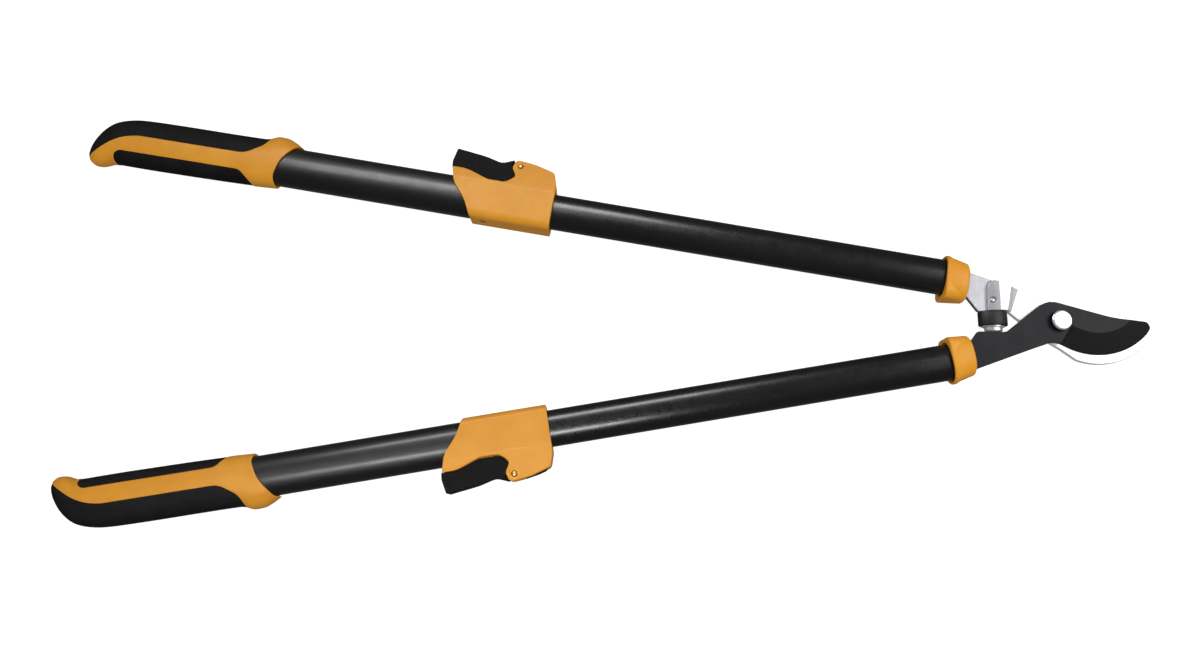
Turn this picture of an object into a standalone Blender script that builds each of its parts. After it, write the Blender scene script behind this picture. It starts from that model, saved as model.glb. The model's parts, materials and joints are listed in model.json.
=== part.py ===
"""Telescopic bypass loppers, closed and fully extended, lying flat on their backs.

+X runs along the tool towards the blade, +Y across it towards the hook-side handle, +Z up.
Outlines are written in millimetres and turned into metres where a mesh is made.
"""
import math

import bmesh
import bpy
from mathutils import Matrix

MM = 0.001
GAP = 0.3

# Whole tool
PIVOT_X = 421.0
PIVOT_Y = -2.0
MID_Z = 17.0
HANDLE_ANGLE = math.radians(9.7)
HANDLE_OFFSET = 22.6

# Head plates
PLATE = 4.8
PLATE_LOW = 0.15
PIVOT_HOLE_R = 4.3
SHANK_R = 4.0
BUSH_R = 6.0
BOLT_HEAD_R = 9.4
BOLT_HEAD_HEIGHT = 5.4
WASHER_R = 10.5
WASHER = 1.4
NUT_R = 8.6
NUT_HEIGHT = 6.2
EDGE_CENTRE = (35.9, 31.0)
EDGE_R = 64.5
GRIND_R = 44.0
GRIND_START = -124.0
GRIND_LAND = 0.9
HOOK_CENTRE = (38.0, 20.0)
HOOK_INNER_R = 50.0
HOOK_OUTER_R = 62.5

# Bumper between the two arms, and the thickening of the hook plate over its stud
BUMPER_X = -60.5
BUMPER_Z = -1.0
BUMPER_R = 13.7
BUMPER_FLAT = 0.58
BUMPER_TOP = 8.0
BUMPER_BOTTOM = -6.2
STUD_R = 2.8
STUD_CAP_R = 8.6
BUMPER_SEAT = 8.3
PAD_Y = -12.1
BUMPER_PIN_R = 2.2
BUMPER_PIN_Y = 18.6
BOSS_WINDOW = [(-66.2, 0.0), (-64.2, 37.6, 7.0), (-20.0, 37.6), (-20.0, 0.0)]

# Tubes: half width across the tool, half depth, wall
INNER_TUBE = (17.0, 12.0)
INNER_WALL = 1.2
OUTER_TUBE = (19.3, 14.4)
OUTER_WALL = 1.3
OVAL_POWER = 2.4

# Places along a handle, from the foot of the pivot towards the grip
INNER_START = 100.0
INNER_END = 592.0
OUTER_START = 538.0
OUTER_END = 892.0
COLLAR_SLOT = (-17.0, 12.6)
TANG_HALF = 10.5
TANG_END = 145.0
RIVET_S = 106.0
RIVET_R = 2.5

# Clamp
SLEEVE_FRONT = 487.5
SLEEVE_HALF_DEPTH = 17.0
SLEEVE_FLANK = 21.5
CHEEK_SLOT = 6.1
LEVER_PIN = (525.0, 36.0)
CAM_CENTRE = (525.0, 35.6)
CAM_R = 5.8
LEVER_HALF = 12.0
PIN_R = 2.3

SEGMENTS = 28

COLOURS = {
    "yellow": ((0.80, 0.38, 0.035, 1.0), 0.42, 0.0),
    "black_paint": ((0.012, 0.012, 0.014, 1.0), 0.22, 0.0),
    "black_rubber": ((0.016, 0.016, 0.017, 1.0), 0.75, 0.0),
    "black_plastic": ((0.012, 0.012, 0.013, 1.0), 0.45, 0.0),
    "grey_plastic": ((0.20, 0.20, 0.21, 1.0), 0.5, 0.0),
    "coated_steel": ((0.035, 0.032, 0.036, 1.0), 0.38, 0.5),
    "bright_steel": ((0.78, 0.78, 0.80, 1.0), 0.28, 1.0),
    "zinc": ((0.62, 0.62, 0.64, 1.0), 0.35, 1.0),
}


# ---------------------------------------------------------------- helpers

def clear_scene():
    for old in list(bpy.data.objects):
        bpy.data.objects.remove(old, do_unlink=True)
    for old in list(bpy.data.meshes):
        bpy.data.meshes.remove(old)


def material(kind):
    found = bpy.data.materials.get(kind)
    if found:
        return found
    colour, roughness, metallic = COLOURS[kind]
    made = bpy.data.materials.new(kind)
    made.use_nodes = True
    shader = made.node_tree.nodes["Principled BSDF"]
    shader.inputs["Base Color"].default_value = colour
    shader.inputs["Roughness"].default_value = roughness
    shader.inputs["Metallic"].default_value = metallic
    made.diffuse_color = colour
    return made


def arc(centre, radius, start, end, steps):
    """Points on a circle from start to end, in degrees."""
    points = []
    for i in range(steps + 1):
        angle = math.radians(start + (end - start) * i / steps)
        points.append((centre[0] + radius * math.cos(angle), centre[1] + radius * math.sin(angle)))
    return points


def rounded(corners, step=18.0):
    """Outline through corners (x, y) or (x, y, radius), each rounded by an arc of its radius."""
    points = []
    count = len(corners)
    for i, corner in enumerate(corners):
        x, y = corner[0], corner[1]
        radius = corner[2] if len(corner) > 2 else 0.0
        if radius == 0.0:
            points.append((x, y))
            continue
        before = corners[i - 1]
        after = corners[(i + 1) % count]
        ux, uy = before[0] - x, before[1] - y
        wx, wy = after[0] - x, after[1] - y
        lu, lw = math.hypot(ux, uy), math.hypot(wx, wy)
        ux, uy, wx, wy = ux / lu, uy / lu, wx / lw, wy / lw
        opening = math.acos(max(-1.0, min(1.0, ux * wx + uy * wy)))
        reach = min(radius / math.tan(opening / 2), lu * 0.499, lw * 0.499)
        radius = reach * math.tan(opening / 2)
        bx, by = ux + wx, uy + wy
        lb = math.hypot(bx, by)
        away = radius / math.sin(opening / 2)
        cx, cy = x + bx / lb * away, y + by / lb * away
        start = math.atan2(y + uy * reach - cy, x + ux * reach - cx)
        turn = math.atan2(y + wy * reach - cy, x + wx * reach - cx) - start
        turn = (turn + math.pi) % (2 * math.pi) - math.pi
        steps = max(1, math.ceil(abs(math.degrees(turn)) / step))
        for k in range(steps + 1):
            angle = start + turn * k / steps
            points.append((cx + radius * math.cos(angle), cy + radius * math.sin(angle)))
    return points


def signed_area(points):
    total = 0.0
    for i, (x, y) in enumerate(points):
        nx, ny = points[(i + 1) % len(points)]
        total += x * ny - nx * y
    return total / 2


def grown(points, distance):
    """Outline moved outwards by distance along its own normals."""
    sign = 1.0 if signed_area(points) > 0 else -1.0
    result = []
    count = len(points)
    for i, (x, y) in enumerate(points):
        ax, ay = points[i - 1]
        bx, by = points[(i + 1) % count]
        tx, ty = bx - ax, by - ay
        length = math.hypot(tx, ty)
        result.append((x + sign * ty / length * distance, y - sign * tx / length * distance))
    return result


def oval(half_width, half_depth, centre=0.0, segments=SEGMENTS, power=OVAL_POWER):
    """Superellipse in the (v, z) plane, with a flat facet at the bottom and at the top."""
    points = []
    for i in range(segments):
        angle = 2 * math.pi * (i + 0.5) / segments
        c, s = math.cos(angle), math.sin(angle)
        flat = math.cos(math.pi / segments)
        v = half_width * math.copysign(abs(c) ** (2 / power), c)
        z = half_depth * math.copysign(min(1.0, abs(s) / flat) ** (2 / power), s)
        points.append((centre + v, z))
    return points


def solid(name, bm):
    bmesh.ops.remove_doubles(bm, verts=bm.verts, dist=1e-7)
    bmesh.ops.recalc_face_normals(bm, faces=bm.faces)
    mesh = bpy.data.meshes.new(name)
    bm.to_mesh(mesh)
    bm.free()
    made = bpy.data.objects.new(name, mesh)
    bpy.context.scene.collection.objects.link(made)
    return made


def prism(name, outline, low, high):
    """Outline in (x, y) made solid from z low to z high."""
    bm = bmesh.new()
    face = bm.faces.new([bm.verts.new((x * MM, y * MM, low * MM)) for x, y in outline])
    lifted = bmesh.ops.extrude_face_region(bm, geom=[face])
    top = [v for v in lifted["geom"] if isinstance(v, bmesh.types.BMVert)]
    bmesh.ops.translate(bm, verts=top, vec=(0, 0, (high - low) * MM))
    return solid(name, bm)


def loft(name, stations):
    """Solid through stations (s, section), each section a ring of (v, z) points."""
    bm = bmesh.new()
    rings = []
    for s, section in stations:
        rings.append([bm.verts.new((s * MM, v * MM, z * MM)) for v, z in section])
    for low, high in zip(rings, rings[1:]):
        for i in range(len(low)):
            k = (i + 1) % len(low)
            bm.faces.new((low[i], low[k], high[k], high[i]))
    bm.faces.new(rings[0])
    bm.faces.new(rings[-1])
    return solid(name, bm)


def turned(name, profile, segments=24, axis="Z", place=(0, 0, 0)):
    """Profile of (radius, height) points, closed at the axis, turned about an axis."""
    bm = bmesh.new()
    rings = []
    for radius, height in profile:
        if radius == 0.0:
            rings.append([bm.verts.new((0, 0, height * MM))])
            continue
        ring = []
        for i in range(segments):
            angle = 2 * math.pi * (i + 0.5) / segments
            ring.append(bm.verts.new((radius * MM * math.cos(angle),
                                      radius * MM * math.sin(angle), height * MM)))
        rings.append(ring)
    for low, high in zip(rings, rings[1:]):
        for i in range(segments):
            k = (i + 1) % segments
            corners = [low[i % len(low)], low[k % len(low)], high[k % len(high)], high[i % len(high)]]
            bm.faces.new(list(dict.fromkeys(corners)))
    if len(rings[0]) > 1:
        bm.faces.new(rings[0])
    if len(rings[-1]) > 1:
        bm.faces.new(rings[-1])
    turn = Matrix.Identity(4)
    if axis == "Y":
        turn = Matrix.Rotation(-math.pi / 2, 4, "X")
    shift = Matrix.Translation([c * MM for c in place])
    bmesh.ops.transform(bm, matrix=shift @ turn, verts=bm.verts)
    return solid(name, bm)


def rod(name, radius, low, high, x=0.0, y=0.0, segments=20):
    """Round bar along Z."""
    return turned(name, [(radius, low), (radius, high)], segments, place=(x, y, 0))


def box(name, low, high):
    outline = [(low[0], low[1]), (high[0], low[1]), (high[0], high[1]), (low[0], high[1])]
    return prism(name, outline, low[2], high[2])


def combine(target, tool, operation):
    """Boolean of two solids; the tool is used up."""
    step = target.modifiers.new(operation.lower(), "BOOLEAN")
    step.operation = operation
    step.object = tool
    step.solver = "EXACT"
    graph = bpy.context.evaluated_depsgraph_get()
    graph.update()
    result = bpy.data.meshes.new_from_object(target.evaluated_get(graph))
    target.modifiers.clear()
    old = target.data
    target.data = result
    bpy.data.meshes.remove(old)
    used = tool.data
    bpy.data.objects.remove(tool, do_unlink=True)
    bpy.data.meshes.remove(used)
    return target


def cut(target, *tools):
    for tool in tools:
        combine(target, tool, "DIFFERENCE")
    return target


def join(target, *tools):
    for tool in tools:
        combine(target, tool, "UNION")
    return target


def common(target, tool):
    return combine(target, tool, "INTERSECT")


def frame_at(x, y, z=0.0):
    return Matrix.Translation((x * MM, y * MM, z * MM))


def handle_frame(side):
    """Local X towards the grip, local Y away from the other handle, origin on the handle axis."""
    place = frame_at(PIVOT_X, 0, MID_Z)
    if side == "hook":
        place = place @ Matrix.Rotation(math.pi, 4, "X")
    turn = Matrix.Rotation(math.pi + HANDLE_ANGLE, 4, "Z")
    return place @ turn @ frame_at(0, HANDLE_OFFSET)


def on_head(s, v, side):
    """Handle point (s, v) seen from the pivot."""
    across = v + HANDLE_OFFSET
    x = -s * math.cos(HANDLE_ANGLE) + across * math.sin(HANDLE_ANGLE)
    y = -s * math.sin(HANDLE_ANGLE) - across * math.cos(HANDLE_ANGLE)
    return (x, y if side == "blade" else -y)


def empty(name, place, parent=None):
    made = bpy.data.objects.new(name, None)
    bpy.context.scene.collection.objects.link(made)
    made.empty_display_size = 0.02
    made.matrix_world = place
    if parent:
        made.parent = parent
        made.matrix_parent_inverse = parent.matrix_world.inverted()
    bpy.context.view_layer.update()
    return made


def finish(piece, name, kind, place, parent=None, smooth_angle=35.0):
    """Names a piece, gives it its material, shades it and puts it in place."""
    piece.name = name
    piece.data.name = name
    piece.data.materials.clear()
    piece.data.materials.append(material(kind))
    piece.data.shade_smooth()
    piece.data.set_sharp_from_angle(angle=math.radians(smooth_angle))
    if parent:
        piece.parent = parent
        piece.matrix_local = parent.matrix_world.inverted() @ place
    else:
        piece.matrix_world = place
    return piece


def twin(piece, name, place, parent):
    """The same moulding on the other handle."""
    copy = bpy.data.objects.new(name, piece.data)
    bpy.context.scene.collection.objects.link(copy)
    copy.parent = parent
    copy.matrix_local = parent.matrix_world.inverted() @ place
    return copy


# ---------------------------------------------------------------- head

def tang(side):
    """Corners of the tang that runs into the tube, from the outer side round to the inner."""
    near = INNER_START - 6.0
    return [
        on_head(near, TANG_HALF, side),
        on_head(TANG_END, TANG_HALF, side),
        on_head(TANG_END, -TANG_HALF, side),
        on_head(near, -TANG_HALF, side),
    ]


def rivet_hole(side, radius):
    x, y = on_head(RIVET_S, 0, side)
    return rod("hole", radius, -20, 20, x, y)


def grind_cutter():
    """Wedge turned about the edge's centre: it takes the blade down to a thin land at its edge."""
    bm = bmesh.new()
    top = PLATE_LOW + PLATE
    slope = (PLATE - GRIND_LAND) / (EDGE_R - GRIND_R)
    far = EDGE_R + 12.0
    low = top - slope * (far - GRIND_R)
    profile = [(GRIND_R - 0.5 / slope, top + 0.5), (far, low), (far, top + 0.5)]
    steps = 16
    rings = []
    for i in range(steps + 1):
        angle = math.radians(GRIND_START * (1 - i / steps) - 15.0 * i / steps)
        ring = []
        for radius, z in profile:
            x = EDGE_CENTRE[0] + radius * math.cos(angle)
            y = EDGE_CENTRE[1] + radius * math.sin(angle)
            ring.append(bm.verts.new((x * MM, y * MM, z * MM)))
        rings.append(ring)
    for near, after in zip(rings, rings[1:]):
        for i in range(3):
            k = (i + 1) % 3
            bm.faces.new((near[i], near[k], after[k], after[i]))
    bm.faces.new(rings[0])
    bm.faces.new(rings[-1])
    return solid("grind", bm)


def make_blade_plate():
    edge = arc(EDGE_CENTRE, EDGE_R, -43.0, -120.0, 20)
    back = rounded([
        (12.3, -29.9),
        (-4.2, -20.4, 18.0),
        (-30.0, -29.4, 60.0),
        on_head(91.0, 11.5, "blade"),
    ])[1:]
    spine = rounded([
        on_head(91.0, -11.5, "blade"),
        (-77.3, PAD_Y, 2.5),
        (-50.5, PAD_Y - 0.5, 10.0),
        (-9.8, 18.6, 20.0),
        (52.5, 0.8, 120.0),
        (83.6, -1.9, 5.0),
        (86.7, -7.4, 3.0),
        edge[0],
    ])[:-1]
    plate = prism("blade", edge + back + tang("blade") + spine, PLATE_LOW, PLATE_LOW + PLATE)
    cut(plate, grind_cutter(), rod("hole", PIVOT_HOLE_R, -20, 20, 0, PIVOT_Y, 24))
    return cut(plate, rivet_hole("blade", RIVET_R + GAP))


def hook_outline():
    inner = arc(HOOK_CENTRE, HOOK_INNER_R, -128.0, -37.0, 16)
    outer = arc((36.0, 20.5), HOOK_OUTER_R, -37.0, -110.0, 14)
    top = rounded([
        on_head(85.0, 9.2, "hook"),
        (-9.5, 20.2, 14.0),
        (13.5, 9.0, 12.0),
        (9.0, -12.0, 12.0),
        inner[0],
    ])[:-1]
    beak = [(80.6, -12.5), (84.6, -15.0)]
    under = rounded([
        outer[-1],
        (0.0, -27.5, 18.0),
        (-18.0, -16.5, 15.0),
        (-45.0, 7.3, 1.0),
        (-46.0, BUMPER_SEAT),
        (-74.0, BUMPER_SEAT, 1.0),
        on_head(86.5, -14.8, "hook"),
    ])[1:]
    corners = tang("hook")
    corners.reverse()
    return top + inner + beak + outer + under + corners


def boss_stations():
    """Faceted thickening over the bumper's stud, wider and with a longer slope away from the bumper."""
    stations = []
    for y, shoulder, foot in ((BUMPER_SEAT, -47.5, -42.4), (42.0, -40.2, -29.4)):
        stations.append((y, [(-72.0, -2.0), (foot + 1.6, -2.0), (foot, -0.15), (shoulder, 4.2), (-54.0, 5.0),
                             (-72.0, 1.7)]))
    return stations


def make_hook_plate():
    low, high = -PLATE_LOW - PLATE, -PLATE_LOW
    outline = hook_outline()
    plate = prism("hook", outline, low, high)
    boss = loft("boss", boss_stations())
    boss.data.transform(Matrix(((0, 1, 0, 0), (1, 0, 0, 0), (0, 0, 1, 0), (0, 0, 0, 1))))
    boss.data.flip_normals()
    common(boss, prism("window", grown(outline, -0.1), -0.5, 30))
    common(boss, prism("window", rounded(BOSS_WINDOW), -0.6, 30))
    join(plate, boss)
    cut(plate, rod("hole", BUSH_R + GAP, -20, 20, 0, PIVOT_Y, 24), rivet_hole("hook", RIVET_R + GAP))
    stud_hole = turned("hole", [(STUD_R + GAP, BUMPER_SEAT - 1), (STUD_R + GAP, 28.0)], 20, "Y",
                       (BUMPER_X, 0, BUMPER_Z))
    pin_hole = rod("hole", BUMPER_PIN_R + GAP, -20, 20, BUMPER_X, BUMPER_PIN_Y, 16)
    return cut(plate, stud_hole, pin_hole)


def flattened(target):
    """Oval along Z about the bumper's axis."""
    centre = frame_at(0, 0, BUMPER_Z)
    target.data.transform(centre @ Matrix.Diagonal((1, 1, BUMPER_FLAT, 1)) @ centre.inverted())
    return target


def make_bumper(place, parent):
    spot = (BUMPER_X, 0, BUMPER_Z)
    sleeve = flattened(turned("sleeve", [
        (BUMPER_R - 1.0, BUMPER_BOTTOM), (BUMPER_R, BUMPER_BOTTOM + 1.8),
        (BUMPER_R, BUMPER_TOP - 1.0), (BUMPER_R - 1.0, BUMPER_TOP)], 28, "Y", spot))
    cut(sleeve, turned("hole", [(STUD_R + GAP, -20), (STUD_R + GAP, 20)], 20, "Y", spot))
    finish(sleeve, "bumper_sleeve", "black_rubber", place, parent)
    cap_low = PAD_Y + GAP
    stud = flattened(turned("stud", [
        (STUD_CAP_R - 0.8, cap_low), (STUD_CAP_R, cap_low + 0.8), (STUD_CAP_R, BUMPER_BOTTOM - GAP)],
        28, "Y", spot))
    join(stud, turned("shank", [(STUD_R, cap_low + 2.0), (STUD_R, 26.5)], 20, "Y", spot))
    cut(stud, rod("hole", BUMPER_PIN_R + GAP, -20, 20, BUMPER_X, BUMPER_PIN_Y, 16))
    finish(stud, "bumper_stud", "bright_steel", place, parent)
    pin = rod("pin", BUMPER_PIN_R, -PLATE_LOW - PLATE + 0.2, 3.2, BUMPER_X, BUMPER_PIN_Y, 16)
    finish(pin, "bumper_pin", "zinc", place, parent)


def make_pivot(place, blade_arm, hook_arm):
    """Bolt through both plates, with a bush in the hook plate and a washer and nut behind it."""
    spot = place @ frame_at(0, PIVOT_Y)
    head_low = PLATE_LOW + PLATE + GAP
    head_high = head_low + BOLT_HEAD_HEIGHT
    hook_low = -PLATE_LOW - PLATE
    nut_high = hook_low - GAP - WASHER - GAP
    bolt = turned("bolt", [
        (SHANK_R - 0.6, nut_high - NUT_HEIGHT - 1.0), (SHANK_R, nut_high - NUT_HEIGHT - 0.4),
        (SHANK_R, head_low), (BOLT_HEAD_R, head_low), (BOLT_HEAD_R, head_high - 1.2),
        (BOLT_HEAD_R - 1.2, head_high)], 24)
    finish(bolt, "pivot_bolt", "bright_steel", spot, blade_arm)
    washer = rod("washer", WASHER_R, hook_low - GAP - WASHER, hook_low - GAP, segments=24)
    cut(washer, rod("hole", PIVOT_HOLE_R, -30, 30, segments=24))
    finish(washer, "pivot_washer", "zinc", spot, blade_arm)
    nut = rod("nut", NUT_R, nut_high - NUT_HEIGHT, nut_high, segments=6)
    cut(nut, rod("hole", PIVOT_HOLE_R, -30, 30, segments=24))
    finish(nut, "pivot_nut", "zinc", spot, blade_arm)
    bush = rod("bush", BUSH_R, hook_low, -PLATE_LOW, segments=24)
    cut(bush, rod("hole", PIVOT_HOLE_R, -30, 30, segments=24))
    finish(bush, "pivot_bush", "zinc", spot, hook_arm)


# ---------------------------------------------------------------- tubes and head collars

def tube(name, size, wall, start, end):
    outer = loft(name, [(start, oval(*size)), (end, oval(*size))])
    inner = (size[0] - wall, size[1] - wall)
    return cut(outer, loft("bore", [(start - 5, oval(*inner)), (end + 5, oval(*inner))]))


def make_inner_tube():
    made = tube("inner_tube", INNER_TUBE, INNER_WALL, INNER_START, INNER_END)
    return cut(made, rod("hole", RIVET_R + GAP, -20, 20, RIVET_S, 0))


def make_tube_plug():
    """Moulding that centres the tang in the tube, with a rim over the tube's end."""
    inside = (INNER_TUBE[0] - INNER_WALL - GAP, INNER_TUBE[1] - INNER_WALL - GAP)
    rim = (INNER_TUBE[0] - 0.4, INNER_TUBE[1] - 0.4)
    rim_end = INNER_START - GAP
    plug = loft("plug", [
        (rim_end - 4.5, oval(*rim)), (rim_end, oval(*rim)),
        (rim_end + 0.02, oval(*inside)), (TANG_END + 6.0, oval(*inside))])
    half = TANG_HALF + GAP
    cut(plug, box("slot", (80, -half, PLATE_LOW - GAP), (TANG_END + GAP, half, PLATE_LOW + PLATE + GAP)))
    return cut(plug, rod("hole", RIVET_R + GAP, -20, 20, RIVET_S, 0))


def make_head_collar():
    """Flared cap over the tube's end; the plate passes through a slot in its front wall."""
    sections = [
        (89.4, -20.2, 13.8, 13.6), (91.0, -21.9, 16.2, 15.6), (97.0, -22.5, 17.6, 16.5),
        (104.0, -22.3, 19.2, 17.0), (108.6, -22.3, 21.2, 17.0), (110.8, -22.1, 21.0, 16.8),
        (111.7, -21.2, 20.0, 16.0)]
    stations = []
    for s, low, high, depth in sections:
        stations.append((s, oval((high - low) / 2, depth, (high + low) / 2)))
    collar = loft("collar", stations)
    bore = (INNER_TUBE[0] + GAP, INNER_TUBE[1] + GAP)
    cut(collar, loft("bore", [(94.6, oval(*bore)), (130.0, oval(*bore))]))
    low = PLATE_LOW - GAP
    return cut(collar, box("slot", (70, COLLAR_SLOT[0], low), (100, COLLAR_SLOT[1], low + PLATE + 2 * GAP)))


def make_guide_bush():
    """Plug in the inner tube's rear end whose rim slides in the outer tube."""
    rim = (OUTER_TUBE[0] - OUTER_WALL - 0.35, OUTER_TUBE[1] - OUTER_WALL - 0.35)
    inside = (INNER_TUBE[0] - INNER_WALL - GAP, INNER_TUBE[1] - INNER_WALL - GAP)
    start = INNER_END + GAP
    bush = loft("bush", [
        (start - 18.0, oval(*inside)), (start - 0.02, oval(*inside)),
        (start, oval(*rim)), (start + 7.0, oval(*rim))])
    hollow = (inside[0] - 2.0, inside[1] - 2.0)
    return cut(bush, loft("hollow", [(start - 25.0, oval(*hollow)), (start + 20.0, oval(*hollow))]))


def make_tang_rivet():
    return rod("rivet", RIVET_R, -INNER_TUBE[1] + 0.1, INNER_TUBE[1] - 0.1, RIVET_S, 0)


# ---------------------------------------------------------------- clamp

def sleeve_outline(with_recess):
    """Side view of the clamp housing. The recess bares the lever."""
    left = [(564.0, -SLEEVE_FLANK, 3.0), (571.0, -7.0, 40.0), (584.5, 9.0, 20.0), (589.0, 24.6, 1.0)]
    if with_recess:
        top = [(575.0, 24.6, 30.0), (553.0, 16.6, 22.0), (536.0, 16.8, 10.0), (527.2, 24.5, 4.0),
               (532.6, 33.5, 4.0), (530.4, 42.6, 5.0)]
    else:
        top = [(575.0, 24.6, 30.0), (530.4, 42.6, 5.0)]
    ear = [(512.0, 40.9, 60.0), (491.4, 35.0, 5.0), (SLEEVE_FRONT, 22.0, 6.0)]
    return rounded(left + top + ear + [(SLEEVE_FRONT, -SLEEVE_FLANK)])


def housing_section():
    """Rounded box with flat front and back whose cheeks lean in towards their top."""
    depth = SLEEVE_HALF_DEPTH
    return rounded([
        (-SLEEVE_FLANK, -depth, 7.0), (14.5, -depth, 9.0), (45.0, -10.0), (45.0, 10.0),
        (14.5, depth, 9.0), (-SLEEVE_FLANK, depth, 7.0)], 22.5)


def make_clamp_sleeve():
    far = 600.0
    section = housing_section()
    sleeve = loft("sleeve", [(480.0, section), (far, section)])
    common(sleeve, prism("side", sleeve_outline(True), -30, 30))
    wall = loft("wall", [(500.0, oval(SLEEVE_FLANK, SLEEVE_HALF_DEPTH - 0.05)),
                         (far, oval(SLEEVE_FLANK, SLEEVE_HALF_DEPTH - 0.05))])
    common(wall, prism("side", sleeve_outline(False), -30, 30))
    join(sleeve, wall)
    small = (INNER_TUBE[0] + 0.35, INNER_TUBE[1] + 0.35)
    large = (OUTER_TUBE[0] + GAP, OUTER_TUBE[1] + GAP)
    cut(sleeve, loft("bore", [(470.0, oval(*small)), (560.0, oval(*small))]))
    cut(sleeve, loft("bore", [(OUTER_START - GAP, oval(*large)), (620.0, oval(*large))]))
    slot = [(493.6, 12.0), (528.2, 12.0), (528.2, 24.0), (534.0, 24.0), (534.0, 60.0), (493.6, 60.0)]
    cut(sleeve, prism("slot", slot, -CHEEK_SLOT, CHEEK_SLOT))
    cut(sleeve, rod("hole", PIN_R + GAP, -20, 20, *LEVER_PIN, 16))
    cut(sleeve, turned("hole", [(3.6, -25.0), (3.6, -SLEEVE_FLANK + 1.4)], 16, "Y", (552.0, 0, 0)))
    return cut(sleeve, turned("hole", [(1.9, -25.0), (1.9, -15.0)], 16, "Y", (552.0, 0, 0)))


def make_clamp_shoe():
    """Block between the cheeks that the cam pushes on to the inner tube."""
    cradle = arc(CAM_CENTRE, CAM_R + GAP, -67.0, -180.0, 8)
    outline = [(527.4, INNER_TUBE[0] + 0.3), (527.4, cradle[0][1] - 0.2)] + cradle + [
        (518.2, 38.0), (515.6, 41.4), (504.0, 39.6), (496.6, 37.6), (494.0, 34.5),
        (494.0, INNER_TUBE[0] + 0.3)]
    return prism("shoe", outline, -CHEEK_SLOT + GAP, CHEEK_SLOT - GAP)


def make_clamp_lever():
    """Thumb lever: a wide arm over the sleeve's flank and a narrow cam between the cheeks."""
    arm = rounded([
        (587.8, 43.9, 1.2), (560.0, 40.6, 60.0), (543.0, 36.4, 12.0), (532.4, 41.0), (526.0, 41.4),
        (526.0, 12.0), (580.0, 12.0), (589.8, 24.8, 1.0), (590.4, 31.0, 4.0)])
    lever = prism("arm", arm, -LEVER_HALF, LEVER_HALF)
    cut(lever, prism("recess", grown(sleeve_outline(True), GAP + 0.1), -30, 30))
    cut(lever, rod("root", 8.1, -30, 30, *LEVER_PIN, 24))
    hug = (SLEEVE_FLANK + 0.35, SLEEVE_HALF_DEPTH + 0.35)
    cut(lever, loft("hug", [(480.0, oval(*hug)), (620.0, oval(*hug))]))
    half = CHEEK_SLOT - GAP
    neck = prism("neck", [(CAM_CENTRE[0], 31.5), (529.6, 30.8), (536.0, 28.0), (536.0, 39.4), (530.0, 41.2),
                          (CAM_CENTRE[0], 41.2)], -half, half)
    cam = rod("cam", CAM_R, -half, half, *CAM_CENTRE, 24)
    join(lever, neck, cam)
    return cut(lever, rod("hole", PIN_R + GAP, -20, 20, *LEVER_PIN, 16))


def make_clamp_pin():
    length = 12.0
    return turned("pin", [(PIN_R - 0.5, -length), (PIN_R, -length + 0.5), (PIN_R, length - 0.5),
                          (PIN_R - 0.5, length)], 16, place=(*LEVER_PIN, 0))


def make_clamp_rivet():
    return turned("rivet", [(2.6, -SLEEVE_FLANK + 0.1), (3.3, -SLEEVE_FLANK + 0.5),
                            (3.3, -SLEEVE_FLANK + 1.1), (1.6, -SLEEVE_FLANK + 1.1), (1.6, -17.9)],
                  16, "Y", (552.0, 0, 0))


def make_outer_tube():
    made = tube("outer_tube", OUTER_TUBE, OUTER_WALL, OUTER_START, OUTER_END)
    return cut(made, turned("hole", [(1.9, -25.0), (1.9, -15.0)], 16, "Y", (552.0, 0, 0)))


# ---------------------------------------------------------------- grip

GRIP_SECTIONS = [
    (736.0, -21.3, 19.6, 15.9), (745.0, -21.6, 24.9, 16.5), (754.0, -21.9, 28.2, 16.9),
    (761.0, -22.2, 28.5, 17.0), (768.0, -22.6, 26.0, 17.0), (775.0, -23.0, 24.5, 17.0),
    (806.0, -24.0, 24.0, 17.0), (850.0, -24.8, 23.7, 17.0), (884.0, -25.2, 23.1, 17.0),
    (898.0, -25.2, 22.3, 16.9), (909.0, -25.1, 20.4, 16.6), (918.0, -25.2, 17.4, 16.0),
    (923.0, -27.4, 14.6, 15.4), (928.0, -29.5, 10.2, 14.4), (933.0, -30.0, 3.8, 12.6),
    (937.5, -28.0, -5.0, 9.8), (940.4, -24.6, -13.4, 6.0), (941.4, -22.4, -17.0, 2.8)]


def grip_body(shrink=0.0):
    stations = []
    for s, low, high, depth in GRIP_SECTIONS:
        stations.append((s, oval((high - low) / 2 - shrink, depth - shrink, (high + low) / 2)))
    return loft("grip", stations)


def band_outline():
    """Side view of the hard band: collar, stripe along the grip and the hooked tip."""
    return rounded([
        (764.5, 34.0), (770.5, 14.5, 16.0), (787.0, 2.6, 20.0), (812.0, 2.2, 40.0), (907.0, 1.8, 60.0),
        (938.0, -23.8), (950.0, -45.0), (914.0, -45.0), (914.0, -14.8, 8.0), (790.0, -14.0, 10.0),
        (772.0, -29.0), (772.0, -45.0), (700.0, -45.0), (700.0, 45.0), (764.5, 45.0)], 15.0)


def rim_cutter():
    """Takes the collar's mouth off along its slanting rim."""
    return prism("rim", rounded([
        (700.0, -45.0), (756.2, -45.0), (756.2, -23.0), (757.2, -14.0, 12.0), (752.6, 2.0, 30.0),
        (741.0, 19.8, 1.0), (737.0, 20.4), (736.5, 45.0), (700.0, 45.0)], 15.0), -40, 40)


def core_body(extra):
    size = (OUTER_TUBE[0] + 1.9 + extra, OUTER_TUBE[1] + 1.2 + extra)
    return loft("core", [(764.0, oval(*size)), (OUTER_END + 2.5 + extra, oval(*size))])


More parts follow.
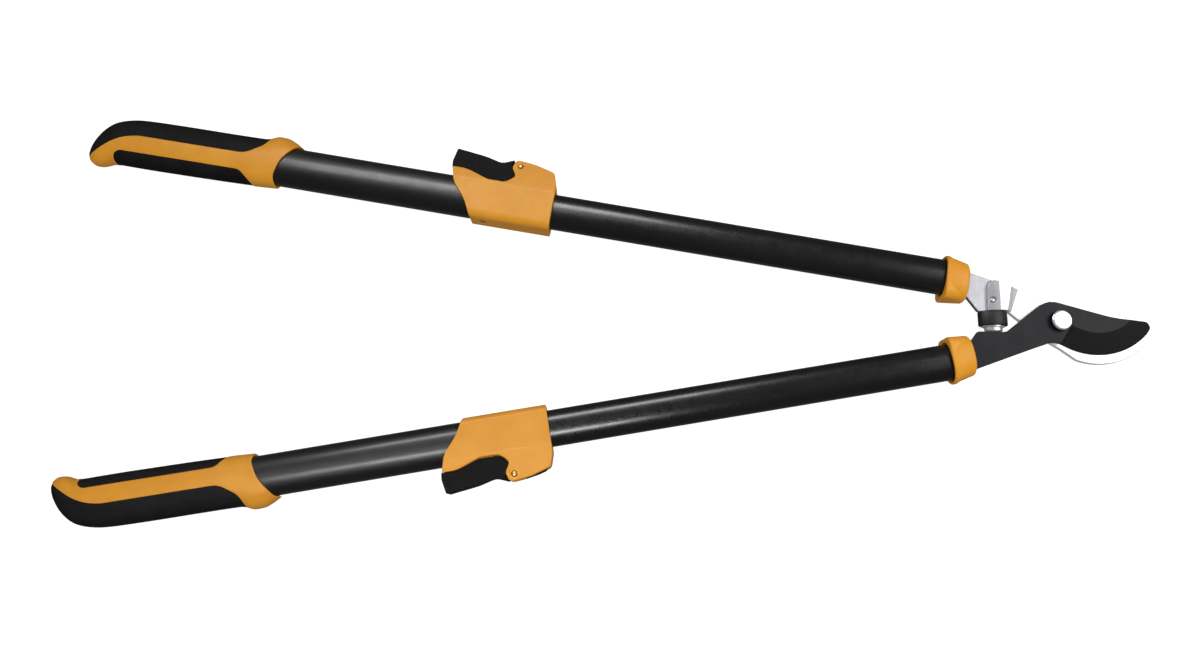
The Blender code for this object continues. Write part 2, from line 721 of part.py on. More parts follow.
def make_grip_core():
    """Hard moulding on the tube: collar, two long stripes joined by the inner wall, hooked tip."""
    core = common(grip_body(), prism("band", band_outline(), -40, 40))
    join(core, core_body(0.0))
    cut(core, rim_cutter())
    bore = (OUTER_TUBE[0] + GAP, OUTER_TUBE[1] + GAP)
    return cut(core, loft("bore", [(700.0, oval(*bore)), (OUTER_END + GAP, oval(*bore))]))


def make_grip_pad(outer_side):
    """Soft overmould on one side of the stripe."""
    middle = -9.0
    if outer_side:
        half = [(740.0, middle), (900.0, middle), (915.0, -9.5), (928.0, -18.0), (936.0, -26.0),
                (946.0, -44.0), (960.0, -44.0), (960.0, 60.0), (740.0, 60.0)]
    else:
        half = [(740.0, -60.0), (916.0, -60.0), (916.0, middle), (740.0, middle)]
    side = prism("side", half, -40, 40)
    pad = common(grip_body(), side)
    cut(pad, prism("band", grown(band_outline(), 0.6), -40, 40))
    return cut(pad, core_body(GAP))


# ---------------------------------------------------------------- assembly

def place_handle_parts(made, suffix, kind, parents, frames):
    """Puts one moulding on the blade-side handle and its twin on the hook-side handle."""
    finish(made, "blade_" + suffix, kind, frames["blade"], parents["blade"])
    twin(made, "hook_" + suffix, frames["hook"], parents["hook"])


def build():
    clear_scene()
    head = frame_at(PIVOT_X, 0, MID_Z)
    frames = {"blade": handle_frame("blade"), "hook": handle_frame("hook")}
    blade_arm = empty("blade_arm", head)
    hook_arm = empty("hook_arm", head @ frame_at(0, PIVOT_Y))
    arms = {"blade": blade_arm, "hook": hook_arm}
    slides = {}
    levers = {}
    for side in ("blade", "hook"):
        slides[side] = empty(side + "_outer_handle", frames[side], arms[side])
        levers[side] = empty(side + "_lever", frames[side] @ frame_at(*LEVER_PIN), slides[side])

    finish(make_blade_plate(), "blade_plate", "coated_steel", head, blade_arm)
    finish(make_hook_plate(), "hook_plate", "bright_steel", head, hook_arm)
    make_pivot(head, blade_arm, hook_arm)
    make_bumper(head, hook_arm)

    place_handle_parts(make_inner_tube(), "inner_tube", "black_paint", arms, frames)
    place_handle_parts(make_tube_plug(), "tube_plug", "grey_plastic", arms, frames)
    place_handle_parts(make_head_collar(), "head_collar", "yellow", arms, frames)
    place_handle_parts(make_guide_bush(), "guide_bush", "grey_plastic", arms, frames)
    place_handle_parts(make_tang_rivet(), "tang_rivet", "zinc", arms, frames)

    place_handle_parts(make_outer_tube(), "outer_tube", "black_paint", slides, frames)
    place_handle_parts(make_clamp_sleeve(), "clamp_sleeve", "yellow", slides, frames)
    place_handle_parts(make_clamp_shoe(), "clamp_shoe", "black_plastic", slides, frames)
    place_handle_parts(make_clamp_pin(), "clamp_pin", "bright_steel", slides, frames)
    place_handle_parts(make_clamp_rivet(), "clamp_rivet", "zinc", slides, frames)
    place_handle_parts(make_grip_core(), "grip_core", "yellow", slides, frames)
    place_handle_parts(make_grip_pad(True), "grip_pad_outer", "black_rubber", slides, frames)
    place_handle_parts(make_grip_pad(False), "grip_pad_inner", "black_rubber", slides, frames)

    place_handle_parts(make_clamp_lever(), "clamp_lever", "black_plastic", levers, frames)


build()
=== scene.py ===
"""Looks of the telescopic bypass loppers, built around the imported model.

Outlines are written in millimetres in the same local frames as the CAD: the head frame lies at the
pivot's foot, and each handle frame has X towards its grip and Y away from the other handle.
"""
import json
import math

import bmesh
import bpy
import numpy as np
from mathutils import Matrix, Vector

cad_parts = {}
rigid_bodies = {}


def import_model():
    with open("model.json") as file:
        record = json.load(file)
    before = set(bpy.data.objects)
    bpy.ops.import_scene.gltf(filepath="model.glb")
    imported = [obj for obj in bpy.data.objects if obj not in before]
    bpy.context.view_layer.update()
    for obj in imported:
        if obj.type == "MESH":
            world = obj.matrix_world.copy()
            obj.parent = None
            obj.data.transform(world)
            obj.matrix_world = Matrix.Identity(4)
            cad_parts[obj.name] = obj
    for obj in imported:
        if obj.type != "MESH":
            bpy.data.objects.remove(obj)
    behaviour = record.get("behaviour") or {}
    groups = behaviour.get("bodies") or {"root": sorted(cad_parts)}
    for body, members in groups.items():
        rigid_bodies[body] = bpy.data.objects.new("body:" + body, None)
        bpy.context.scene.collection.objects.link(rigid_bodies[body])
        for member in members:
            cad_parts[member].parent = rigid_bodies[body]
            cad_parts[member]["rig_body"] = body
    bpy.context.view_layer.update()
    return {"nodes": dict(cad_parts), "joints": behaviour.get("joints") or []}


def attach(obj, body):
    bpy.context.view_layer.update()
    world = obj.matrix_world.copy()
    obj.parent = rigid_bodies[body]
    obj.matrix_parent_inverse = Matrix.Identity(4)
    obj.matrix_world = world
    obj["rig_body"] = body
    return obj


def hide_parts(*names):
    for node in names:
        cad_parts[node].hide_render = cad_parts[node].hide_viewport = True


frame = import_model()

MM = 0.001
GAP = 0.3
SIDES = ("blade", "hook")

# Head
PIVOT_Y = -2.0
PLATE = 4.8
PLATE_LOW = 0.15
BOLT_HEAD_R = 9.4
BOLT_HEAD_HEIGHT = 5.4
WASHER_R = 10.5
WASHER = 1.4
NUT_R = 8.6
NUT_HEIGHT = 6.2
SHANK_R = 4.0
EDGE_CENTRE = (35.9, 31.0)
EDGE_R = 64.5
GRIND_R = 44.0
GRIND_START = -124.0
GRIND_LAND = 0.9
HOOK_CENTRE = (38.0, 20.0)
BUMPER_X = -60.5
BUMPER_Z = -1.0
BUMPER_R = 13.7
BUMPER_FLAT = 0.58
BUMPER_TOP = 8.0
BUMPER_BOTTOM = -6.2
BUMPER_SEAT = 8.3
STUD_R = 2.8
PAD_Y = -12.1
PIN_Y = 18.6
BOSS_WINDOW = [(-66.2, 0.0), (-64.2, 37.6, 7.0), (-20.0, 37.6), (-20.0, 0.0)]

# Tubes
INNER_TUBE = (17.0, 12.0)
OUTER_TUBE = (19.3, 14.4)
INNER_WALL = 1.2
OUTER_WALL = 1.3
INNER_START = 100.0
INNER_END = 592.0
OUTER_START = 538.0
OUTER_END = 892.0
TANG_HALF = 10.5
COLLAR_SLOT = (-17.0, 12.6)

# Handles
HANDLE_ANGLE = math.radians(9.7)
HANDLE_OFFSET = 22.6
SLEEVE_FRONT = 487.5
SLEEVE_FLANK = 21.5
SLEEVE_HALF_DEPTH = 17.0
CHEEK_SLOT = 6.1
LEVER_PIN = (525.0, 36.0)
CAM_CENTRE = (525.0, 35.6)
CAM_R = 5.8
LEVER_HALF = 12.0

# Studio
FLOOR_HALF = 6.0
FLOOR_Z = -0.0004
CAMERA_PLACE = (-0.00978, -0.1966, 0.9135)
CAMERA_PITCH = math.radians(11.47)
CAMERA_ROLL = math.radians(0.23)
LENS = 29.22
SENSOR = 36.0

joints = {joint["name"]: joint for joint in frame["joints"]}


# ---------------------------------------------------------------- places

def head_frame():
    foot = Vector(joints["head_pivot"]["pos_m"]) - Vector((0, PIVOT_Y * MM, 0))
    return Matrix.Translation(foot)


def handle_frame(side):
    """Handle axes from the slide and the lever's hinge."""
    x = -Vector(joints[side + "_telescope"]["axis"]).normalized()
    z = Vector(joints[side + "_lever_hinge"]["axis"]).normalized()
    y = z.cross(x)
    pin = Vector(joints[side + "_lever_hinge"]["pos_m"])
    origin = pin - x * LEVER_PIN[0] * MM - y * LEVER_PIN[1] * MM
    axes = Matrix((x, y, z)).transposed().to_4x4()
    return Matrix.Translation(origin) @ axes


HEAD = head_frame()
HANDLES = {side: handle_frame(side) for side in SIDES}


def on_head(s, v, side):
    """Handle point (s, v) seen from the pivot's foot."""
    across = v + HANDLE_OFFSET
    x = -s * math.cos(HANDLE_ANGLE) + across * math.sin(HANDLE_ANGLE)
    y = -s * math.sin(HANDLE_ANGLE) - across * math.cos(HANDLE_ANGLE)
    return (x, y if side == "blade" else -y)


# ---------------------------------------------------------------- outlines

def arc(centre, radius, start, end, steps):
    points = []
    for i in range(steps + 1):
        angle = math.radians(start + (end - start) * i / steps)
        points.append((centre[0] + radius * math.cos(angle), centre[1] + radius * math.sin(angle)))
    return points


def rounded(corners, step=5.0):
    """Outline through corners (x, y) or (x, y, radius), each rounded by an arc of its radius."""
    points = []
    count = len(corners)
    for i, corner in enumerate(corners):
        x, y = corner[0], corner[1]
        radius = corner[2] if len(corner) > 2 else 0.0
        if radius == 0.0:
            points.append((x, y))
            continue
        before = corners[i - 1]
        after = corners[(i + 1) % count]
        ux, uy = before[0] - x, before[1] - y
        wx, wy = after[0] - x, after[1] - y
        lu, lw = math.hypot(ux, uy), math.hypot(wx, wy)
        ux, uy, wx, wy = ux / lu, uy / lu, wx / lw, wy / lw
        opening = math.acos(max(-1.0, min(1.0, ux * wx + uy * wy)))
        reach = min(radius / math.tan(opening / 2), lu * 0.499, lw * 0.499)
        radius = reach * math.tan(opening / 2)
        bx, by = ux + wx, uy + wy
        lb = math.hypot(bx, by)
        away = radius / math.sin(opening / 2)
        cx, cy = x + bx / lb * away, y + by / lb * away
        start = math.atan2(y + uy * reach - cy, x + ux * reach - cx)
        turn = math.atan2(y + wy * reach - cy, x + wx * reach - cx) - start
        turn = (turn + math.pi) % (2 * math.pi) - math.pi
        steps = max(1, math.ceil(abs(math.degrees(turn)) / step))
        for k in range(steps + 1):
            angle = start + turn * k / steps
            points.append((cx + radius * math.cos(angle), cy + radius * math.sin(angle)))
    return points


def grown(points, distance):
    """Outline moved outwards by distance along its own normals."""
    area = sum(x * points[(i + 1) % len(points)][1] - points[(i + 1) % len(points)][0] * y
               for i, (x, y) in enumerate(points))
    sign = 1.0 if area > 0 else -1.0
    result = []
    for i, (x, y) in enumerate(points):
        ax, ay = points[i - 1]
        bx, by = points[(i + 1) % len(points)]
        tx, ty = bx - ax, by - ay
        length = math.hypot(tx, ty)
        result.append((x + sign * ty / length * distance, y - sign * tx / length * distance))
    return result


def oval(half_width, half_depth, centre=0.0, segments=96, power=2.4):
    """Superellipse in the (v, z) plane."""
    points = []
    for i in range(segments):
        angle = 2 * math.pi * (i + 0.5) / segments
        c, s = math.cos(angle), math.sin(angle)
        points.append((centre + half_width * math.copysign(abs(c) ** (2 / power), c),
                       half_depth * math.copysign(abs(s) ** (2 / power), s)))
    return points


# ---------------------------------------------------------------- solids

def solid(name, bm):
    bmesh.ops.remove_doubles(bm, verts=bm.verts, dist=1e-7)
    bmesh.ops.recalc_face_normals(bm, faces=bm.faces)
    mesh = bpy.data.meshes.new(name)
    bm.to_mesh(mesh)
    bm.free()
    made = bpy.data.objects.new(name, mesh)
    bpy.context.scene.collection.objects.link(made)
    return made


def prism(outline, low, high):
    bm = bmesh.new()
    face = bm.faces.new([bm.verts.new((x * MM, y * MM, low * MM)) for x, y in outline])
    lifted = bmesh.ops.extrude_face_region(bm, geom=[face])
    top = [v for v in lifted["geom"] if isinstance(v, bmesh.types.BMVert)]
    bmesh.ops.translate(bm, verts=top, vec=(0, 0, (high - low) * MM))
    return solid("prism", bm)


def skin(bm, rings, closed):
    """Faces between rings of vertices. A closed run joins the last ring to the first."""
    runs = list(zip(rings, rings[1:]))
    if closed:
        runs.append((rings[-1], rings[0]))
    for low, high in runs:
        count = max(len(low), len(high))
        for i in range(count):
            k = (i + 1) % count
            corners = [low[i % len(low)], low[k % len(low)], high[k % len(high)], high[i % len(high)]]
            bm.faces.new(list(dict.fromkeys(corners)))
    if not closed:
        for ring in (rings[0], rings[-1]):
            if len(ring) > 1:
                bm.faces.new(ring)


def loft(stations):
    """Solid through stations (s, section), each section a ring of (v, z) points."""
    bm = bmesh.new()
    rings = [[bm.verts.new((s * MM, v * MM, z * MM)) for v, z in section] for s, section in stations]
    skin(bm, rings, False)
    return solid("loft", bm)


def turned(profile, segments=96, axis="Z", place=(0, 0, 0), closed=False):
    """Profile of (radius, height) turned about an axis. A closed profile makes a ring."""
    bm = bmesh.new()
    rings = []
    for radius, height in profile:
        if radius == 0.0:
            rings.append([bm.verts.new((0, 0, height * MM))])
            continue
        ring = []
        for i in range(segments):
            angle = 2 * math.pi * (i + 0.5) / segments
            ring.append(bm.verts.new((radius * MM * math.cos(angle),
                                      radius * MM * math.sin(angle), height * MM)))
        rings.append(ring)
    skin(bm, rings, closed)
    turn = Matrix.Rotation(-math.pi / 2, 4, "X") if axis == "Y" else Matrix.Identity(4)
    shift = Matrix.Translation([c * MM for c in place])
    bmesh.ops.transform(bm, matrix=shift @ turn, verts=bm.verts)
    return solid("turned", bm)


def rod(radius, low, high, x=0.0, y=0.0, segments=48):
    return turned([(radius, low), (radius, high)], segments, place=(x, y, 0))


def box(low, high):
    corners = [(low[0], low[1]), (high[0], low[1]), (high[0], high[1]), (low[0], high[1])]
    return prism(corners, low[2], high[2])


def bake_modifiers(target):
    graph = bpy.context.evaluated_depsgraph_get()
    graph.update()
    result = bpy.data.meshes.new_from_object(target.evaluated_get(graph))
    target.modifiers.clear()
    old = target.data
    target.data = result
    bpy.data.meshes.remove(old)
    return target


def combine(target, tool, operation):
    step = target.modifiers.new(operation, "BOOLEAN")
    step.operation = operation
    step.object = tool
    step.solver = "EXACT"
    bake_modifiers(target)
    used = tool.data
    bpy.data.objects.remove(tool, do_unlink=True)
    bpy.data.meshes.remove(used)
    return target


def cut(target, *tools):
    for tool in tools:
        combine(target, tool, "DIFFERENCE")
    return target


def join(target, *tools):
    for tool in tools:
        combine(target, tool, "UNION")
    return target


def common(target, tool):
    return combine(target, tool, "INTERSECT")


def moulded(target, voxel=0.5, rounds=4, keep=0.35):
    """Gives a solid the soft edges of a moulding: a fine even skin, eased and then thinned."""
    step = target.modifiers.new("skin", "REMESH")
    step.mode = "VOXEL"
    step.voxel_size = voxel * MM
    ease = target.modifiers.new("ease", "SMOOTH")
    ease.factor = 0.5
    ease.iterations = rounds
    thin = target.modifiers.new("thin", "DECIMATE")
    thin.ratio = keep
    bake_modifiers(target)
    mark_edges(target.data)
    return target


def mark_edges(mesh, rounds=4):
    """Stores how far each point stands out: above 0.5 on edges, below in corners."""
    count = len(mesh.vertices)
    points = np.zeros(count * 3)
    normals = np.zeros(count * 3)
    mesh.vertices.foreach_get("co", points)
    mesh.vertices.foreach_get("normal", normals)
    points, normals = points.reshape(-1, 3), normals.reshape(-1, 3)
    pairs = np.zeros(len(mesh.edges) * 2, int)
    mesh.edges.foreach_get("vertices", pairs)
    a, b = pairs.reshape(-1, 2).T
    step = points[b] - points[a]
    length = np.linalg.norm(step, axis=1) + 1e-9
    bend_a = -(step * normals[a]).sum(1) / length**2
    bend_b = (step * normals[b]).sum(1) / length**2
    near = np.bincount(a, minlength=count) + np.bincount(b, minlength=count)
    near = np.maximum(near, 1)
    bend = (np.bincount(a, bend_a, count) + np.bincount(b, bend_b, count)) / near
    for _ in range(rounds):
        bend = 0.4 * bend + 0.6 * (np.bincount(a, bend[b], count) + np.bincount(b, bend[a], count)) / near
    layer = mesh.attributes.new("stand_out", "FLOAT", "POINT")
    layer.data.foreach_set("value", np.clip(0.5 + bend * MM * 0.9, 0, 1).astype(np.float32))


def keep_local(mesh):
    """Stores each point's place in its own frame, which the patterns follow."""
    points = np.zeros(len(mesh.vertices) * 3)
    mesh.vertices.foreach_get("co", points)
    layer = mesh.attributes.new("local", "FLOAT_VECTOR", "POINT")
    layer.data.foreach_set("vector", points.astype(np.float32))


def show(piece, name, node, look, place, smooth_angle=None):
    """Puts a piece in its place, in front of the CAD node that it stands for."""
    piece.name = name
    piece.data.name = name
    piece.data.materials.clear()
    for one in look if isinstance(look, (list, tuple)) else [look]:
        piece.data.materials.append(one)
    piece.data.shade_smooth()
    if smooth_angle:
        piece.data.set_sharp_from_angle(angle=math.radians(smooth_angle))
    keep_local(piece.data)
    piece.data.transform(place)
    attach(piece, frame["nodes"][node]["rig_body"])
    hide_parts(node)
    return piece


def show_pair(piece, name, node, look, smooth_angle=None):
    """One moulding on both handles."""
    other = bpy.data.objects.new(name, piece.data.copy())
    bpy.context.scene.collection.objects.link(other)
    show(piece, "blade_" + name, "blade_" + node, look, HANDLES["blade"], smooth_angle)
    show(other, "hook_" + name, "hook_" + node, look, HANDLES["hook"], smooth_angle)


# ---------------------------------------------------------------- materials

class Look:
    """A procedural material: a Principled shader with patterns in object space, sizes in mm."""

    def __init__(self, name, row_frame=False, **sockets):
        self.material = bpy.data.materials.new(name)
        self.material.use_nodes = True
        self.nodes = self.material.node_tree.nodes
        self.links = self.material.node_tree.links
        self.shader = self.nodes["Principled BSDF"]
        for socket, value in sockets.items():
            self.shader.inputs[socket.replace("_", " ")].default_value = value
        if row_frame:
            self.where = self.nodes.new("ShaderNodeTexCoord").outputs["Object"]
        else:
            where = self.nodes.new("ShaderNodeAttribute")
            where.attribute_name = "local"
            self.where = where.outputs["Vector"]

    def put(self, value, socket):
        if isinstance(value, bpy.types.NodeSocket):
            self.links.new(value, socket)
        else:
            socket.default_value = value

    def noise(self, size, detail=2.0, stretch=(1, 1, 1), shift=0.0, rough=0.5):
        spread = self.nodes.new("ShaderNodeMapping")
        self.put(self.where, spread.inputs["Vector"])
        spread.inputs["Location"].default_value = (shift, shift * 0.7, -shift)
        spread.inputs["Scale"].default_value = stretch
        node = self.nodes.new("ShaderNodeTexNoise")
        self.put(spread.outputs["Vector"], node.inputs["Vector"])
        node.inputs["Scale"].default_value = 1 / (size * MM)
        node.inputs["Detail"].default_value = detail
        node.inputs["Roughness"].default_value = rough
        return node.outputs["Fac"]

    def grain(self, size):
        node = self.nodes.new("ShaderNodeTexVoronoi")
        self.put(self.where, node.inputs["Vector"])
        node.inputs["Scale"].default_value = 1 / (size * MM)
        return node.outputs["Distance"]

    def maths(self, kind, a, b=0.0, c=0.0, clamp=False):
        node = self.nodes.new("ShaderNodeMath")
        node.operation = kind
        node.use_clamp = clamp
        for socket, value in zip(node.inputs, (a, b, c)):
            self.put(value, socket)
        return node.outputs["Value"]

    def between(self, value, low, high, start=0.0, end=1.0):
        """value from low..high to start..end, held outside."""
        node = self.nodes.new("ShaderNodeMapRange")
        for socket, one in zip(("Value", "From Min", "From Max", "To Min", "To Max"),
                               (value, low, high, start, end)):
            self.put(one, node.inputs[socket])
        return node.outputs["Result"]

    def blend(self, factor, a, b, kind="MIX"):
        node = self.nodes.new("ShaderNodeMix")
        node.data_type = "RGBA"
        node.blend_type = kind
        self.put(factor, node.inputs[0])
        self.put(a, node.inputs[6])
        self.put(b, node.inputs[7])
        return node.outputs[2]

    def stand_out(self):
        node = self.nodes.new("ShaderNodeAttribute")
        node.attribute_name = "stand_out"
        return node.outputs["Fac"]

    def parts(self):
        """Object-space x, y and z of the point."""
        node = self.nodes.new("ShaderNodeSeparateXYZ")
        self.put(self.where, node.inputs[0])
        return node.outputs

    def flatness(self):
        """1 on the front and back of a flat piece, 0 on its flanks."""
        node = self.nodes.new("ShaderNodeTexCoord")
        split = self.nodes.new("ShaderNodeSeparateXYZ")
        self.put(node.outputs["Normal"], split.inputs[0])
        return self.maths("ABSOLUTE", split.outputs["Z"])

    def bump(self, *layers):
        """Layers (height, depth in mm), the coarsest first."""
        normal = None
        for height, depth in layers:
            node = self.nodes.new("ShaderNodeBump")
            node.inputs["Strength"].default_value = 1.0
            node.inputs["Distance"].default_value = depth * MM
            self.put(height, node.inputs["Height"])
            if normal:
                self.put(normal, node.inputs["Normal"])
            normal = node.outputs["Normal"]
        self.put(normal, self.shader.inputs["Normal"])

    def colour(self, value):
        self.put(value, self.shader.inputs["Base Color"])

    def roughness(self, value):
        self.put(value, self.shader.inputs["Roughness"])


def rgb(r, g, b):
    return (r, g, b, 1.0)


def amber_plastic():
    """Injection-moulded amber nylon: spark-eroded grain, slightly paler and duller on its edges, with painted
    shade darkening its hollows and creases.
    """
    look = Look("moulded_amber", IOR=1.5)
    look.shader.inputs["Specular IOR Level"].default_value = 0.3
    cloud = look.between(look.noise(34.0, 3.0), 0.35, 0.65)
    body = look.blend(cloud, rgb(0.76, 0.315, 0.018), rgb(0.82, 0.352, 0.024))
    speck = look.between(look.noise(0.9, 2.0, shift=3.1), 0.62, 0.72, 0.0, 0.22)
    body = look.blend(speck, body, rgb(0.62, 0.26, 0.016))
    out = look.stand_out()
    worn = look.between(out, 0.62, 0.95, 0.0, 0.45)
    body = look.blend(worn, body, rgb(0.86, 0.50, 0.12))
    # Painted shade: hollows and creases (low stand_out) are darkened towards a dark amber.
    painted_hollow_shade = look.between(out, 0.42, 0.15, 0.0, 0.5)
    look.colour(look.blend(painted_hollow_shade, body, rgb(0.40, 0.16, 0.010)))
    look.roughness(look.maths("ADD", look.between(look.noise(6.0, 4.0, shift=7.0), 0.3, 0.7, 0.36, 0.5),
                              look.maths("MULTIPLY", worn, 0.25)))
    look.bump((look.noise(0.55, 3.0, shift=1.0), 0.022), (look.grain(0.28), 0.006))
    return look.material


def tube_paint(name, low, high):
    """Black powder coat: orange peel, fine lengthwise rub marks; low to high is its roughness."""
    look = Look(name, IOR=1.5)
    look.shader.inputs["Coat Weight"].default_value = 0.25
    look.shader.inputs["Coat Roughness"].default_value = 0.16
    cloud = look.between(look.noise(55.0, 3.0, (0.3, 1, 1)), 0.35, 0.65)
    look.colour(look.blend(cloud, rgb(0.0035, 0.0034, 0.0038), rgb(0.0055, 0.0053, 0.0060)))
    rub = look.noise(1.1, 4.0, (0.02, 1, 1), 2.0)
    patch = look.between(look.noise(28.0, 3.0, (0.4, 1, 1), 5.0), 0.45, 0.7)
    rubbed = look.maths("MULTIPLY", look.between(rub, 0.45, 0.75), patch)
    base = look.between(look.noise(9.0, 3.0, shift=9.0), 0.3, 0.7, low, high)
    look.roughness(look.maths("ADD", base, look.maths("MULTIPLY", rubbed, 0.05)))
    look.bump((look.noise(1.5, 2.0, shift=4.0), 0.005), (look.noise(0.3, 2.0), 0.0008))
    return look.material


def soft_grip():
    """Thermoplastic rubber with a fine matt grain."""
    look = Look("soft_rubber_black", IOR=1.48)
    look.shader.inputs["Specular IOR Level"].default_value = 0.16
    cloud = look.between(look.noise(18.0, 4.0), 0.3, 0.7)
    body = look.blend(cloud, rgb(0.0060, 0.0060, 0.0064), rgb(0.0095, 0.0095, 0.0100))
    worn = look.between(look.stand_out(), 0.6, 0.95, 0.0, 0.5)
    look.colour(look.blend(worn, body, rgb(0.022, 0.021, 0.021)))
    look.roughness(look.between(look.noise(3.0, 4.0, shift=2.0), 0.3, 0.7, 0.62, 0.78))
    look.bump((look.grain(0.75), 0.035), (look.noise(0.35, 3.0), 0.012))
    return look.material


def black_nylon():
    """Glass-filled nylon of the thumb lever and the clamp shoe."""
    look = Look("black_nylon", IOR=1.5)
    look.shader.inputs["Specular IOR Level"].default_value = 0.10
    cloud = look.between(look.noise(12.0, 4.0), 0.3, 0.7)
    body = look.blend(cloud, rgb(0.0022, 0.0021, 0.0021), rgb(0.0036, 0.0034, 0.0034))
    worn = look.between(look.stand_out(), 0.62, 0.95, 0.0, 0.5)
    look.colour(look.blend(worn, body, rgb(0.016, 0.0155, 0.0155)))
    look.roughness(look.between(look.noise(2.0, 4.0, shift=6.0), 0.3, 0.7, 0.50, 0.64))
    look.bump((look.noise(0.5, 3.0), 0.020), (look.grain(0.3), 0.006))
    return look.material


def bumper_rubber():
    look = Look("bumper_rubber", IOR=1.5)
    cloud = look.between(look.noise(7.0, 4.0), 0.3, 0.7)
    look.colour(look.blend(cloud, rgb(0.0055, 0.0048, 0.0055), rgb(0.0105, 0.0095, 0.0110)))
    look.roughness(look.between(look.noise(1.6, 4.0, shift=6.0), 0.3, 0.7, 0.40, 0.56))
    look.bump((look.noise(0.8, 3.0), 0.02))
    return look.material


def inner_plastic():
    look = Look("guide_nylon_grey", True, IOR=1.5)
    cloud = look.between(look.noise(10.0, 4.0), 0.3, 0.7)
    look.colour(look.blend(cloud, rgb(0.15, 0.15, 0.16), rgb(0.21, 0.21, 0.22)))
    look.roughness(look.between(look.noise(2.0, 4.0, shift=6.0), 0.3, 0.7, 0.42, 0.58))
    look.bump((look.noise(0.6, 3.0), 0.02))
    return look.material


def coated_blade():
    """Non-stick charcoal coating, darker on the hollow grind, with grinding lines across the edge; painted
    shade darkens the plate's side walls.
    """
    look = Look("coated_blade", Metallic=0.25, IOR=1.5)
    look.shader.inputs["Specular IOR Level"].default_value = 0.28
    split = look.parts()
    dx = look.maths("SUBTRACT", split["X"], EDGE_CENTRE[0] * MM)
    dy = look.maths("SUBTRACT", split["Y"], EDGE_CENTRE[1] * MM)
    reach = look.maths("SQRT", look.maths("ADD", look.maths("MULTIPLY", dx, dx),
                                          look.maths("MULTIPLY", dy, dy)))
    on_grind = look.between(reach, (GRIND_R - 0.15) * MM, (GRIND_R + 0.35) * MM)
    turn = look.maths("ARCTAN2", dy, dx)
    right = look.between(turn, math.radians(GRIND_START - 0.2), math.radians(GRIND_START + 0.4))
    above = look.between(split["Z"], -0.2 * MM, 0.4 * MM)
    ground = look.maths("MULTIPLY", look.maths("MULTIPLY", on_grind, right), above)
    stripe = look.nodes.new("ShaderNodeTexNoise")
    stripe.noise_dimensions = "1D"
    look.put(look.maths("MULTIPLY", turn, 150.0), stripe.inputs["W"])
    stripe.inputs["Scale"].default_value = 1.0
    stripe.inputs["Detail"].default_value = 4.0
    lines = stripe.outputs["Fac"]
    cloud = look.between(look.noise(14.0, 5.0, rough=0.6), 0.3, 0.7)
    face = look.blend(cloud, rgb(0.012, 0.0112, 0.0138), rgb(0.019, 0.018, 0.0208))
    fine = look.noise(0.7, 3.0, shift=4.0)
    face = look.blend(look.between(fine, 0.6, 0.75, 0.0, 0.35), face, rgb(0.034, 0.032, 0.037))
    grind = look.between(lines, 0.35, 0.65)
    grind = look.blend(grind, rgb(0.0022, 0.0020, 0.0028), rgb(0.0046, 0.0043, 0.0054))
    body = look.blend(ground, face, grind)
    # Painted shade: the plate's side walls (normals away from Z) are darkened below the face colour.
    side = look.between(look.flatness(), 0.75, 0.45, 0.0, 1.0)
    body = look.blend(side, body, rgb(0.006, 0.0055, 0.0065))
    worn = look.between(look.stand_out(), 0.72, 1.0, 0.0, 0.35)
    look.colour(look.blend(worn, body, rgb(0.060, 0.058, 0.063)))
    look.roughness(look.maths("ADD", look.between(fine, 0.3, 0.7, 0.44, 0.56),
                              look.maths("MULTIPLY", ground, 0.06)))
    cuts = look.maths("MULTIPLY", lines, ground)
    look.bump((cuts, 0.02), (look.noise(0.9, 3.0, shift=8.0), 0.012), (look.grain(0.22), 0.004))
    return look.material


def satin_steel():
    """Forged hook: satin nickel, lightly mottled, brushed lengthwise. Painted shade makes the plate greyer
    towards the tang and darkens its side walls; a painted highlight makes the hook's outer rim near-white and
    non-metallic.
    """
    look = Look("satin_nickel", Metallic=0.55, IOR=1.5)
    cloud = look.between(look.noise(11.0, 5.0, rough=0.6), 0.3, 0.7)
    body = look.blend(cloud, rgb(0.72, 0.72, 0.74), rgb(0.80, 0.80, 0.82))
    # Painted shade: the shank end is a darker grey than the hook, the same nickel made to look less lit.
    shank = look.blend(cloud, rgb(0.44, 0.44, 0.48), rgb(0.54, 0.54, 0.57))
    split = look.parts()
    along = look.between(split["X"], -60.0 * MM, -46.0 * MM)
    body = look.blend(along, shank, body)
    pit = look.between(look.noise(1.1, 3.0, shift=5.0), 0.62, 0.74, 0.0, 0.30)
    body = look.blend(pit, body, rgb(0.42, 0.42, 0.45))
    # Painted shade and light on the side walls: near-black along the shank, grey on the boss, and near-white
    # at the hook's outer rim.
    side = look.between(look.flatness(), 0.6, 0.2, 0.0, 1.0)
    rim = look.blend(along, rgb(0.10, 0.10, 0.10), rgb(0.82, 0.82, 0.81))
    on_plate = look.between(split["Z"], 0.2 * MM, -0.3 * MM)
    flank = look.blend(on_plate, rgb(0.56, 0.56, 0.57), rim)
    look.colour(look.blend(side, body, flank))
    # Painted highlight: the hook's outer rim is made non-metallic so its near-white colour reads as white.
    painted_rim_light = look.maths("MULTIPLY", side, along)
    look.put(look.between(painted_rim_light, 0.0, 1.0, 0.55, 0.0), look.shader.inputs["Metallic"])
    brush = look.noise(0.35, 4.0, (0.04, 1, 1), 3.0)
    look.roughness(look.between(brush, 0.3, 0.7, 0.30, 0.44))
    look.bump((look.noise(1.6, 3.0, shift=2.0), 0.02), (brush, 0.004))
    return look.material


